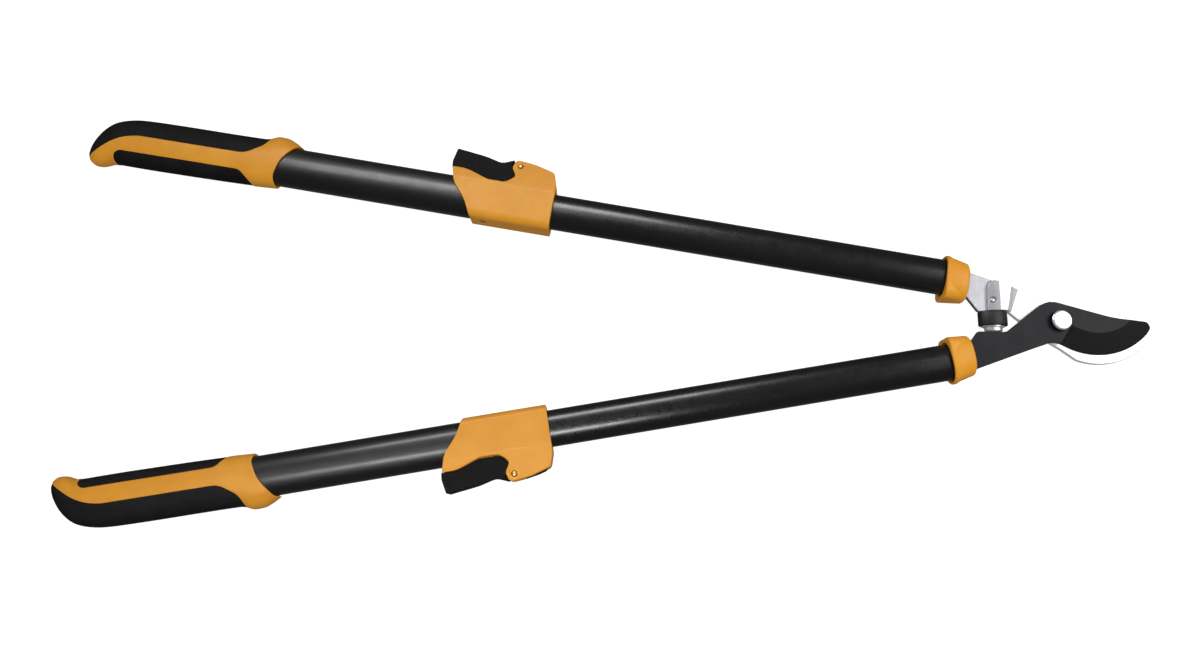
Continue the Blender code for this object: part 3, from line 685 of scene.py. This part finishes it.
def polished_steel():
    """Bolt head, stud and pins: bright, with the fine rings of the lathe."""
    look = Look("polished_steel", Metallic=0.8, IOR=1.5)
    cloud = look.between(look.noise(3.0, 4.0), 0.3, 0.7)
    look.colour(look.blend(cloud, rgb(0.86, 0.86, 0.87), rgb(0.93, 0.93, 0.94)))
    look.roughness(look.between(look.noise(0.8, 4.0, shift=3.0), 0.3, 0.7, 0.22, 0.32))
    split = look.parts()
    reach = look.maths("SQRT", look.maths("ADD", look.maths("MULTIPLY", split["X"], split["X"]),
                                          look.maths("MULTIPLY", split["Y"], split["Y"])))
    rings = look.nodes.new("ShaderNodeTexNoise")
    rings.noise_dimensions = "1D"
    look.put(look.maths("MULTIPLY", reach, 3500.0), rings.inputs["W"])
    rings.inputs["Scale"].default_value = 1.0
    rings.inputs["Detail"].default_value = 3.0
    look.bump((rings.outputs["Fac"], 0.004), (look.noise(0.5, 3.0), 0.002))
    return look.material


def bolt_flank_painted_shade():
    """Near-black colour for the side wall of the bolt's head: painted shade."""
    look = Look("bolt_flank_painted_shade", Metallic=0.4, IOR=1.5)
    cloud = look.between(look.noise(2.0, 4.0), 0.3, 0.7)
    look.colour(look.blend(cloud, rgb(0.006, 0.006, 0.006), rgb(0.014, 0.014, 0.013)))
    look.roughness(look.between(look.noise(0.8, 4.0, shift=3.0), 0.3, 0.7, 0.45, 0.6))
    look.bump((look.noise(0.5, 3.0), 0.01))
    return look.material


def zinc(name, dull, bright):
    """Zinc-plated washer, nut, rivets and bush; yellow-passivated on the clamp's pin and rivet."""
    look = Look(name, True, Metallic=0.9, IOR=1.5)
    cloud = look.between(look.noise(2.5, 5.0, rough=0.6), 0.3, 0.7)
    look.colour(look.blend(cloud, dull, bright))
    look.roughness(look.between(look.noise(0.9, 4.0, shift=3.0), 0.3, 0.7, 0.28, 0.42))
    look.bump((look.noise(0.7, 3.0), 0.006))
    return look.material


AMBER = amber_plastic()
PAINT = tube_paint("powder_coat_black", 0.25, 0.31)
OUTER_PAINT = tube_paint("powder_coat_black_outer", 0.34, 0.42)
SOFT = soft_grip()
NYLON = black_nylon()
RUBBER = bumper_rubber()
GUIDE = inner_plastic()
COATED = coated_blade()
SATIN = satin_steel()
POLISHED = polished_steel()
FLANK_SHADE = bolt_flank_painted_shade()
ZINC = zinc("zinc_plate", rgb(0.55, 0.55, 0.56), rgb(0.70, 0.70, 0.70))
YELLOW_ZINC = zinc("zinc_plate_yellow", rgb(0.50, 0.30, 0.09), rgb(0.62, 0.38, 0.12))


# ---------------------------------------------------------------- head

def tang(side):
    near = INNER_START - 6.0
    far = INNER_START + 45.0
    return [on_head(near, TANG_HALF, side), on_head(far, TANG_HALF, side),
            on_head(far, -TANG_HALF, side), on_head(near, -TANG_HALF, side)]


def grind_cutter():
    """Wedge turned about the edge's centre: it thins the blade to a narrow land at its edge."""
    bm = bmesh.new()
    top = PLATE_LOW + PLATE
    slope = (PLATE - GRIND_LAND) / (EDGE_R - GRIND_R)
    far = EDGE_R + 12.0
    low = top - slope * (far - GRIND_R)
    profile = [(GRIND_R - 0.5 / slope, top + 0.5), (far, low), (far, top + 0.5)]
    steps = 90
    rings = []
    for i in range(steps + 1):
        angle = math.radians(GRIND_START * (1 - i / steps) - 15.0 * i / steps)
        rings.append([bm.verts.new(((EDGE_CENTRE[0] + r * math.cos(angle)) * MM,
                                    (EDGE_CENTRE[1] + r * math.sin(angle)) * MM, z * MM))
                      for r, z in profile])
    skin(bm, rings, False)
    return solid("grind", bm)


def blade_piece():
    edge = arc(EDGE_CENTRE, EDGE_R, -43.0, -120.0, 70)
    back = rounded([
        (12.3, -29.9), (-4.2, -20.4, 18.0), (-30.0, -29.4, 60.0), on_head(91.0, 11.5, "blade")])[1:]
    spine = rounded([
        on_head(91.0, -11.5, "blade"), (-77.3, PAD_Y, 2.5), (-50.5, PAD_Y - 0.5, 10.0),
        (-9.8, 18.6, 20.0), (52.5, 0.8, 120.0), (83.6, -1.9, 5.0), (86.7, -7.4, 3.0), edge[0]])[:-1]
    plate = prism(edge + back + tang("blade") + spine, PLATE_LOW, PLATE_LOW + PLATE)
    cut(plate, grind_cutter(), rod(4.3, -20, 20, 0, PIVOT_Y))
    return moulded(plate, 0.38, 3, 0.25)


def hook_outline():
    inner = arc(HOOK_CENTRE, 50.0, -128.0, -37.0, 60)
    outer = arc((36.0, 20.5), 62.5, -37.0, -110.0, 60)
    top = rounded([
        on_head(85.0, 9.2, "hook"), (-9.5, 20.2, 14.0), (13.5, 9.0, 12.0), (9.0, -12.0, 12.0),
        inner[0]])[:-1]
    under = rounded([
        outer[-1], (0.0, -27.5, 18.0), (-18.0, -16.5, 15.0), (-45.0, 7.3, 1.0), (-46.0, BUMPER_SEAT),
        (-74.0, BUMPER_SEAT, 1.0), on_head(86.5, -14.8, "hook")])[1:]
    corners = tang("hook")
    corners.reverse()
    return top + inner + [(80.6, -12.5), (84.6, -15.0)] + outer + under + corners


def boss_stations():
    """Faceted thickening over the bumper's stud."""
    stations = []
    for y, shoulder, foot in ((BUMPER_SEAT, -47.5, -42.4), (42.0, -40.2, -29.4)):
        stations.append((y, [(-72.0, -2.0), (foot + 1.6, -2.0), (foot, -0.15), (shoulder, 4.2), (-54.0, 5.0),
                             (-72.0, 1.7)]))
    return stations


def hook_piece():
    outline = hook_outline()
    plate = prism(outline, -PLATE_LOW - PLATE, -PLATE_LOW)
    boss = loft(boss_stations())
    boss.data.transform(Matrix(((0, 1, 0, 0), (1, 0, 0, 0), (0, 0, 1, 0), (0, 0, 0, 1))))
    boss.data.flip_normals()
    common(boss, prism(grown(outline, -0.1), -0.5, 30))
    common(boss, prism(rounded(BOSS_WINDOW), -0.6, 30))
    join(plate, boss)
    cut(plate, rod(6.3, -20, 20, 0, PIVOT_Y))
    seat = [(STUD_R + GAP, BUMPER_SEAT - 1), (STUD_R + GAP, 28.0)]
    cut(plate, turned(seat, 48, "Y", (BUMPER_X, 0, BUMPER_Z)))
    cut(plate, rod(2.5, -20, 20, BUMPER_X, PIN_Y), rod(3.3, 2.7, 20, BUMPER_X, PIN_Y))
    return moulded(plate, 0.38, 3, 0.25)


def flattened(target):
    """Oval along Z about the bumper's axis."""
    centre = Matrix.Translation((0, 0, BUMPER_Z * MM))
    target.data.transform(centre @ Matrix.Diagonal((1, 1, BUMPER_FLAT, 1)) @ centre.inverted())
    return target


def bumper_pieces():
    spot = (BUMPER_X, 0, BUMPER_Z)
    r, low, high = BUMPER_R, BUMPER_BOTTOM, BUMPER_TOP
    bore = STUD_R + GAP
    sleeve = turned([
        (bore / BUMPER_FLAT, low + 0.7), (11.6, low + 0.7), (12.0, low + 0.1), (12.4, low), (12.9, low + 0.1),
        (13.4, low + 0.5), (r, low + 1.2), (r, high - 1.3), (13.4, high - 0.5), (12.8, high - 0.1),
        (12.2, high), (bore / BUMPER_FLAT, high)], 128, "Y", spot, True)
    show(flattened(sleeve), "bumper_rubber_sleeve", "bumper_sleeve", RUBBER, HEAD, 40)
    cap = PAD_Y + GAP
    stud = flattened(turned([
        (0, cap), (6.6, cap), (7.6, cap + 0.25), (8.3, cap + 0.8), (8.6, cap + 1.6), (8.6, low - 1.9),
        (8.3, low - 1.6), (7.6, low - 1.5), (7.6, low - 1.1), (10.4, low - 1.1), (10.9, low - 0.8),
        (11.1, low - 0.3), (11.1, low + 0.5), (0, low + 0.5)], 128, "Y", spot))
    join(stud, turned([
        (0, cap + 2.0), (STUD_R, cap + 2.0), (STUD_R, 26.0), (STUD_R - 0.5, 26.5), (0, 26.5)], 64, "Y", spot))
    show(stud, "bumper_stud_cap", "bumper_stud", POLISHED, HEAD, 30)
    pin = turned([(0, -4.75), (2.0, -4.75), (2.2, -4.5), (2.2, 2.3), (2.0, 2.8), (1.4, 3.1), (0, 3.3)],
                 48, place=(BUMPER_X, PIN_Y, 0))
    show(pin, "bumper_cross_pin", "bumper_pin", ZINC, HEAD, 30)


def pivot_pieces():
    spot = HEAD @ Matrix.Translation((0, PIVOT_Y * MM, 0))
    low = PLATE_LOW + PLATE + GAP
    high = low + BOLT_HEAD_HEIGHT
    r = BOLT_HEAD_R
    hook_low = -PLATE_LOW - PLATE
    nut_high = hook_low - GAP - WASHER - GAP
    end = nut_high - NUT_HEIGHT - 1.0
    bolt = turned([
        (0, end), (SHANK_R - 0.6, end), (SHANK_R, end + 0.6), (SHANK_R, low), (r - 0.3, low),
        (r, low + 0.3), (r, high - 1.2), (r - 0.15, high - 0.75), (r - 0.5, high - 0.35),
        (r - 1.1, high - 0.12), (r - 2.4, high), (0, high)], 128)
    # Painted shade: the side faces of the bolt's head get the near-black material.
    flanks = []
    for face in bolt.data.polygons:
        middle = face.center
        if low * MM < middle.z < (high - 1.0) * MM and math.hypot(middle.x, middle.y) > (r - 0.4) * MM:
            flanks.append(face.index)
    show(bolt, "pivot_bolt_turned", "pivot_bolt", [POLISHED, FLANK_SHADE], spot, 50)
    for index in flanks:
        bolt.data.polygons[index].material_index = 1
    top = hook_low - GAP
    washer = turned([
        (4.3, top - WASHER), (WASHER_R - 0.4, top - WASHER), (WASHER_R, top - WASHER + 0.35),
        (WASHER_R, top - 0.35), (WASHER_R - 0.4, top), (4.3, top)], 96, closed=True)
    show(washer, "pivot_washer_turned", "pivot_washer", ZINC, spot, 30)
    nut = turned([(NUT_R, nut_high - NUT_HEIGHT), (NUT_R, nut_high)], 6)
    common(nut, turned([
        (7.3, nut_high - NUT_HEIGHT), (8.8, nut_high - NUT_HEIGHT + 0.95), (8.8, nut_high - 0.95),
        (7.3, nut_high)], 96))
    nut_low = nut_high - NUT_HEIGHT
    cut(nut, rod(4.3, -30, 30), turned([(4.9, nut_low - 0.1), (4.2, nut_low + 0.7)], 96))
    show(nut, "pivot_nut_hex", "pivot_nut", ZINC, spot, 25)


# ---------------------------------------------------------------- tubes and head collars

def tube_piece(size, wall, start, end):
    """Drawn oval tube with broken ends."""
    inner = (size[0] - wall, size[1] - wall)
    bm = bmesh.new()
    rings = []
    stations = [(start, -0.35, size), (start + 0.35, 0.0, size)]
    spans = 24
    for i in range(1, spans):
        stations.append((start + (end - start) * i / spans, 0.0, size))
    stations += [(end - 0.35, 0.0, size), (end, -0.35, size), (end, 0.2, inner), (end - 0.3, 0.0, inner),
                 (start + 0.3, 0.0, inner), (start, 0.2, inner)]
    for s, extra, (a, b) in stations:
        ring = oval(a + extra, b + extra, 0.0, 120)
        rings.append([bm.verts.new((s * MM, v * MM, z * MM)) for v, z in ring])
    skin(bm, rings, True)
    return solid("tube", bm)


def collar_piece():
    """Flared cap over the tube's end. A fold runs slantwise over it from the rim's inner corner."""
    sections = [
        (89.4, -20.2, 13.8, 13.6), (91.0, -21.9, 16.2, 15.6), (97.0, -22.5, 17.6, 16.5),
        (104.0, -22.3, 19.2, 16.8), (108.6, -22.3, 21.2, 16.7), (110.8, -22.1, 21.0, 16.5),
        (111.7, -21.2, 20.0, 15.8)]
    collar = loft([
        (s, oval((high - low) / 2, depth, (high + low) / 2)) for s, low, high, depth in sections])
    fold = loft([
        (95.0, rounded([(-21.6, -12, 8), (-2, -15.2, 8), (-2, 15.2, 8), (-21.6, 12, 8)])),
        (109.8, rounded([(-22.6, -16.2, 8), (6, -17.0, 8), (6, 17.0, 8), (-22.6, 16.2, 8)])),
        (111.2, rounded([(-22.0, -15.6, 8), (6, -16.4, 8), (6, 16.4, 8), (-22.0, 15.6, 8)]))])
    join(collar, fold)
    bore = (INNER_TUBE[0] + GAP, INNER_TUBE[1] + GAP)
    mouth = (bore[0] + 1.9, bore[1] + 1.9)
    cut(collar, loft([(94.6, oval(*bore)), (130.0, oval(*bore))]))
    cut(collar, loft([(107.8, oval(*bore)), (112.3, oval(*mouth)), (118.0, oval(*mouth))]))
    low = PLATE_LOW - GAP
    cut(collar, box((70, COLLAR_SLOT[0], low), (100, COLLAR_SLOT[1], low + PLATE + 2 * GAP)))
    return moulded(collar, 0.4, 4, 0.35)


# ---------------------------------------------------------------- clamp

def sleeve_outline(with_recess):
    left = [(564.0, -SLEEVE_FLANK, 3.0), (571.0, -7.0, 40.0), (584.5, 9.0, 20.0), (589.0, 24.6, 1.0)]
    if with_recess:
        top = [(575.0, 24.6, 30.0), (553.0, 16.6, 22.0), (536.0, 16.8, 10.0), (527.2, 24.5, 4.0),
               (532.6, 33.5, 4.0), (530.4, 42.6, 5.0)]
    else:
        top = [(575.0, 24.6, 30.0), (530.4, 42.6, 5.0)]
    ear = [(512.0, 40.9, 60.0), (491.4, 35.0, 5.0), (SLEEVE_FRONT, 22.0, 6.0)]
    return rounded(left + top + ear + [(SLEEVE_FRONT, -SLEEVE_FLANK)])


def sleeve_piece():
    depth = SLEEVE_HALF_DEPTH
    far = 600.0
    section = rounded([
        (-SLEEVE_FLANK, -depth, 7.0), (14.5, -depth, 9.0), (45.0, -10.0), (45.0, 10.0),
        (14.5, depth, 9.0), (-SLEEVE_FLANK, depth, 7.0)], 6.0)
    sleeve = loft([(480.0, section), (far, section)])
    common(sleeve, prism(sleeve_outline(True), -30, 30))
    wall = loft([(500.0, oval(SLEEVE_FLANK, depth - 0.05)), (far, oval(SLEEVE_FLANK, depth - 0.05))])
    common(wall, prism(sleeve_outline(False), -30, 30))
    join(sleeve, wall)
    small = (INNER_TUBE[0] + 0.35, INNER_TUBE[1] + 0.35)
    large = (OUTER_TUBE[0] + GAP, OUTER_TUBE[1] + GAP)
    cut(sleeve, loft([(470.0, oval(*small)), (560.0, oval(*small))]))
    cut(sleeve, loft([(OUTER_START - GAP, oval(*large)), (620.0, oval(*large))]))
    slot = [(493.6, 12.0), (528.2, 12.0), (528.2, 24.0), (534.0, 24.0), (534.0, 60.0), (493.6, 60.0)]
    cut(sleeve, prism(slot, -CHEEK_SLOT, CHEEK_SLOT))
    cut(sleeve, rod(2.6, -20, 20, *LEVER_PIN))
    cut(sleeve, turned([(3.6, -25.0), (3.6, -SLEEVE_FLANK + 1.4)], 48, "Y", (552.0, 0, 0)))
    return moulded(sleeve, 0.5, 4, 0.3)


def shoe_piece():
    cradle = arc(CAM_CENTRE, CAM_R + GAP, -67.0, -180.0, 24)
    outline = [(527.4, INNER_TUBE[0] + 0.3), (527.4, cradle[0][1] - 0.2)] + cradle + [
        (518.2, 38.0), (515.6, 41.4), (504.0, 39.6), (496.6, 37.6), (494.0, 34.5),
        (494.0, INNER_TUBE[0] + 0.3)]
    shoe = prism(outline, -CHEEK_SLOT + GAP, CHEEK_SLOT - GAP)
    return moulded(shoe, 0.35, 3, 0.35)


def lever_piece():
    arm = rounded([
        (587.8, 43.9, 1.2), (560.0, 40.6, 60.0), (543.0, 36.4, 12.0), (532.4, 41.0), (526.0, 41.4),
        (526.0, 12.0), (580.0, 12.0), (589.8, 24.8, 1.0), (590.4, 31.0, 4.0)])
    lever = prism(arm, -LEVER_HALF, LEVER_HALF)
    cut(lever, prism(grown(sleeve_outline(True), GAP + 0.1), -30, 30))
    cut(lever, rod(8.1, -30, 30, *LEVER_PIN))
    hug = (SLEEVE_FLANK + 0.35, SLEEVE_HALF_DEPTH + 0.35)
    cut(lever, loft([(480.0, oval(*hug)), (620.0, oval(*hug))]))
    half = CHEEK_SLOT - GAP
    neck = prism([(CAM_CENTRE[0], 31.5), (529.6, 30.8), (536.0, 28.0), (536.0, 39.4), (530.0, 41.2),
                  (CAM_CENTRE[0], 41.2)], -half, half)
    join(lever, neck, rod(CAM_R, -half, half, *CAM_CENTRE))
    cut(lever, rod(2.6, -20, 20, *LEVER_PIN))
    return moulded(lever, 0.4, 4, 0.35)


def clamp_pin_piece():
    end = 12.0
    return turned([
        (0, -end), (1.3, -end + 0.05), (2.0, -end + 0.35), (2.3, -end + 0.9), (2.3, end - 0.9),
        (2.0, end - 0.35), (1.3, end - 0.05), (0, end)], 48, place=(*LEVER_PIN, 0))


def clamp_rivet_piece():
    flank = -SLEEVE_FLANK
    return turned([
        (0, flank + 0.1), (1.6, flank + 0.12), (2.6, flank + 0.3), (3.1, flank + 0.55), (3.3, flank + 0.85),
        (3.3, flank + 1.1), (1.6, flank + 1.1), (1.6, -17.9), (0, -17.9)], 48, "Y", (552.0, 0, 0))


# ---------------------------------------------------------------- grip

GRIP_SECTIONS = [
    (736.0, -21.3, 19.6, 15.9), (745.0, -21.6, 24.9, 16.5), (754.0, -21.9, 28.2, 16.9),
    (761.0, -22.2, 28.5, 17.0), (768.0, -22.6, 26.0, 17.0), (775.0, -23.0, 24.5, 17.0),
    (806.0, -24.0, 24.0, 17.0), (850.0, -24.8, 23.7, 17.0), (884.0, -25.2, 23.1, 17.0),
    (898.0, -25.2, 22.3, 16.9), (909.0, -25.1, 20.4, 16.6), (918.0, -25.2, 17.4, 16.0),
    (923.0, -27.4, 14.6, 15.4), (928.0, -29.5, 10.2, 14.4), (933.0, -30.0, 3.8, 12.6),
    (937.5, -28.0, -5.0, 9.8), (940.4, -24.6, -13.4, 6.0), (941.4, -22.4, -17.0, 2.8)]


def eased_sections(spans=5):
    """The grip's sections with smooth ones between them."""
    rows = np.array(GRIP_SECTIONS)
    s = rows[:, 0]
    chord = np.diff(rows[:, 1:], axis=0) / np.diff(s)[:, None]
    slope = np.vstack([chord[:1], np.zeros_like(chord[1:]), chord[-1:]])
    same = chord[1:] * chord[:-1] > 0
    total = np.where(same, chord[1:] + chord[:-1], 1.0)
    slope[1:-1] = np.where(same, 2 * chord[1:] * chord[:-1] / total, 0.0)
    result = []
    for i in range(len(rows) - 1):
        length = s[i + 1] - s[i]
        for k in range(spans):
            t = k / spans
            a = 2 * t**3 - 3 * t**2 + 1
            b = t**3 - 2 * t**2 + t
            c = -2 * t**3 + 3 * t**2
            d = t**3 - t**2
            value = (a * rows[i, 1:] + b * length * slope[i] + c * rows[i + 1, 1:]
                     + d * length * slope[i + 1])
            result.append((s[i] + t * length, *value))
    result.append(tuple(rows[-1]))
    return result


def grip_body(shrink=0.0):
    stations = []
    for s, low, high, depth in eased_sections():
        depth = min(depth, 17.0) - shrink
        stations.append((s, oval((high - low) / 2 - shrink, depth, (high + low) / 2)))
    return loft(stations)


def band_outline():
    return rounded([
        (764.5, 34.0), (770.5, 14.5, 16.0), (787.0, 2.6, 20.0), (812.0, 2.2, 40.0), (907.0, 1.8, 60.0),
        (938.0, -23.8), (950.0, -45.0), (914.0, -45.0), (914.0, -14.8, 8.0), (790.0, -14.0, 10.0),
        (772.0, -29.0), (772.0, -45.0), (700.0, -45.0), (700.0, 45.0), (764.5, 45.0)])


def rim_cutter():
    return prism(rounded([
        (700.0, -45.0), (756.2, -45.0), (756.2, -23.0), (757.2, -14.0, 12.0), (752.6, 2.0, 30.0),
        (741.0, 19.8, 1.0), (737.0, 20.4), (736.5, 45.0), (700.0, 45.0)]), -40, 40)


def core_body(extra):
    size = (OUTER_TUBE[0] + 1.9 + extra, OUTER_TUBE[1] + 1.2 + extra)
    return loft([(764.0, oval(*size)), (OUTER_END + 2.5 + extra, oval(*size))])


def grip_core_piece():
    core = common(grip_body(), prism(band_outline(), -40, 40))
    join(core, core_body(0.0))
    cut(core, rim_cutter())
    bore = (OUTER_TUBE[0] + GAP, OUTER_TUBE[1] + GAP)
    cut(core, loft([(700.0, oval(*bore)), (OUTER_END + GAP, oval(*bore))]))
    return moulded(core, 0.5, 4, 0.25)


def grip_pad_piece(outer_side):
    middle = -9.0
    if outer_side:
        half = [(740.0, middle), (900.0, middle), (915.0, -9.5), (928.0, -18.0), (936.0, -26.0),
                (946.0, -44.0), (960.0, -44.0), (960.0, 60.0), (740.0, 60.0)]
    else:
        half = [(740.0, -60.0), (916.0, -60.0), (916.0, middle), (740.0, middle)]
    pad = common(grip_body(0.45), prism(half, -40, 40))
    cut(pad, prism(grown(band_outline(), -0.6), -40, 40), core_body(0.05))
    return moulded(pad, 0.5, 4, 0.3)


# ---------------------------------------------------------------- the tool

def build_tool():
    show(blade_piece(), "cutting_blade", "blade_plate", COATED, HEAD)
    show(hook_piece(), "counter_hook", "hook_plate", SATIN, HEAD)
    pivot_pieces()
    bumper_pieces()
    inner = tube_piece(INNER_TUBE, INNER_WALL, INNER_START, INNER_END)
    show_pair(inner, "inner_tube_drawn", "inner_tube", PAINT, 40)
    outer = tube_piece(OUTER_TUBE, OUTER_WALL, OUTER_START, OUTER_END)
    show_pair(outer, "outer_tube_drawn", "outer_tube", OUTER_PAINT, 40)
    show_pair(collar_piece(), "collar_moulding", "head_collar", AMBER)
    show_pair(sleeve_piece(), "sleeve_moulding", "clamp_sleeve", AMBER)
    show_pair(shoe_piece(), "shoe_moulding", "clamp_shoe", NYLON)
    show_pair(lever_piece(), "lever_moulding", "clamp_lever", NYLON)
    show_pair(clamp_pin_piece(), "clamp_pin_turned", "clamp_pin", YELLOW_ZINC, 30)
    show_pair(clamp_rivet_piece(), "clamp_rivet_domed", "clamp_rivet", YELLOW_ZINC, 30)
    show_pair(grip_core_piece(), "grip_core_moulding", "grip_core", AMBER)
    show_pair(grip_pad_piece(True), "grip_pad_outer_soft", "grip_pad_outer", SOFT)
    show_pair(grip_pad_piece(False), "grip_pad_inner_soft", "grip_pad_inner", SOFT)
    kept = {"pivot_bush": ZINC}
    for side in SIDES:
        kept[side + "_tube_plug"] = GUIDE
        kept[side + "_guide_bush"] = GUIDE
        kept[side + "_tang_rivet"] = ZINC
    for node, look in kept.items():
        mesh = frame["nodes"][node].data
        mesh.materials.clear()
        mesh.materials.append(look)


# ---------------------------------------------------------------- studio

def floor():
    """Large pale sheet. It gives white of its own and takes faint shadows."""
    bm = bmesh.new()
    signs = ((-1, -1), (1, -1), (1, 1), (-1, 1))
    corners = [bm.verts.new((x * FLOOR_HALF, y * FLOOR_HALF, FLOOR_Z)) for x, y in signs]
    bm.faces.new(corners)
    sheet = solid("studio_floor", bm)
    look = Look("studio_white", True, Roughness=0.9)
    tone = look.between(look.noise(400.0, 2.0), 0.3, 0.7)
    look.colour(look.blend(tone, rgb(0.34, 0.34, 0.34), rgb(0.36, 0.36, 0.36)))
    look.shader.inputs["Specular IOR Level"].default_value = 0.0
    look.shader.inputs["Emission Color"].default_value = (1, 1, 1, 1)
    look.shader.inputs["Emission Strength"].default_value = 0.93
    sheet.data.materials.append(look.material)
    sheet.visible_glossy = False
    sheet.visible_diffuse = False


# Lamps: place, aim and size in metres, power in watts
LAMPS = {
    "key_far": dict(place=(-0.25, 0.64, 1.0), aim=(-0.15, 0.10, 0.0), size=(0.80, 0.28), power=8.0,
                    on_matt=False),
    "overhead": dict(place=(-0.10, -0.15, 1.2), aim=(-0.10, -0.05, 0.0), size=(1.20, 0.50), power=6.5,
                     in_gloss=False),
    "key_near": dict(place=(-0.20, -0.25, 0.6), aim=(-0.20, -0.19, 0.0), size=(0.55, 0.10), power=0.25,
                     spread=40.0, on_matt=False),
    "head_fill": dict(place=(0.92, 0.17, 0.75), aim=(0.45, 0.0, 0.0), size=(0.50, 0.50), power=3.5),
}


def softbox(name, place, aim, size, power, spread=180.0, on_matt=True, in_gloss=True):
    data = bpy.data.lights.new(name, "AREA")
    data.shape = "RECTANGLE"
    data.size, data.size_y = size
    data.energy = power
    data.spread = math.radians(spread)
    lamp = bpy.data.objects.new(name, data)
    bpy.context.scene.collection.objects.link(lamp)
    lamp.location = place
    lamp.rotation_euler = (Vector(aim) - Vector(place)).to_track_quat("-Z", "Y").to_euler()
    lamp.visible_camera = False
    lamp.visible_diffuse = on_matt
    lamp.visible_glossy = in_gloss


def surroundings():
    """White to the camera, soft light on matt surfaces, and dim in gloss."""
    world = bpy.data.worlds.new("studio")
    bpy.context.scene.world = world
    world.use_nodes = True
    nodes, links = world.node_tree.nodes, world.node_tree.links

    def backdrop(node, colour, strength):
        node.inputs["Color"].default_value = colour
        node.inputs["Strength"].default_value = strength
        return node.outputs[0]

    def choose(ray_kind, otherwise, chosen):
        node = nodes.new("ShaderNodeMixShader")
        links.new(ray.outputs[ray_kind], node.inputs[0])
        links.new(otherwise, node.inputs[1])
        links.new(chosen, node.inputs[2])
        return node.outputs[0]

    ray = nodes.new("ShaderNodeLightPath")
    plain = backdrop(nodes["Background"], (0.9, 0.92, 1.0, 1.0), 0.13)
    white = backdrop(nodes.new("ShaderNodeBackground"), (1, 1, 1, 1), 1.0)
    soft = backdrop(nodes.new("ShaderNodeBackground"), (1.0, 0.98, 0.95, 1.0), 0.38)
    lit = choose("Is Camera Ray", choose("Is Diffuse Ray", plain, soft), white)
    links.new(lit, nodes["World Output"].inputs["Surface"])


def studio():
    floor()
    for name, lamp in LAMPS.items():
        softbox(name, **lamp)
    surroundings()


def camera():
    """Above the near side of the tool, leaning a little towards its far side."""
    data = bpy.data.cameras.new("camera")
    data.lens = LENS
    data.sensor_width = SENSOR
    eye = bpy.data.objects.new("camera", data)
    bpy.context.scene.collection.objects.link(eye)
    lean = Matrix.Rotation(CAMERA_PITCH, 4, "X") @ Matrix.Rotation(CAMERA_ROLL, 4, "Z")
    eye.matrix_world = Matrix.Translation(CAMERA_PLACE) @ lean
    bpy.context.scene.camera = eye


build_tool()
studio()
camera()
bpy.context.scene.view_settings.view_transform = "Standard"
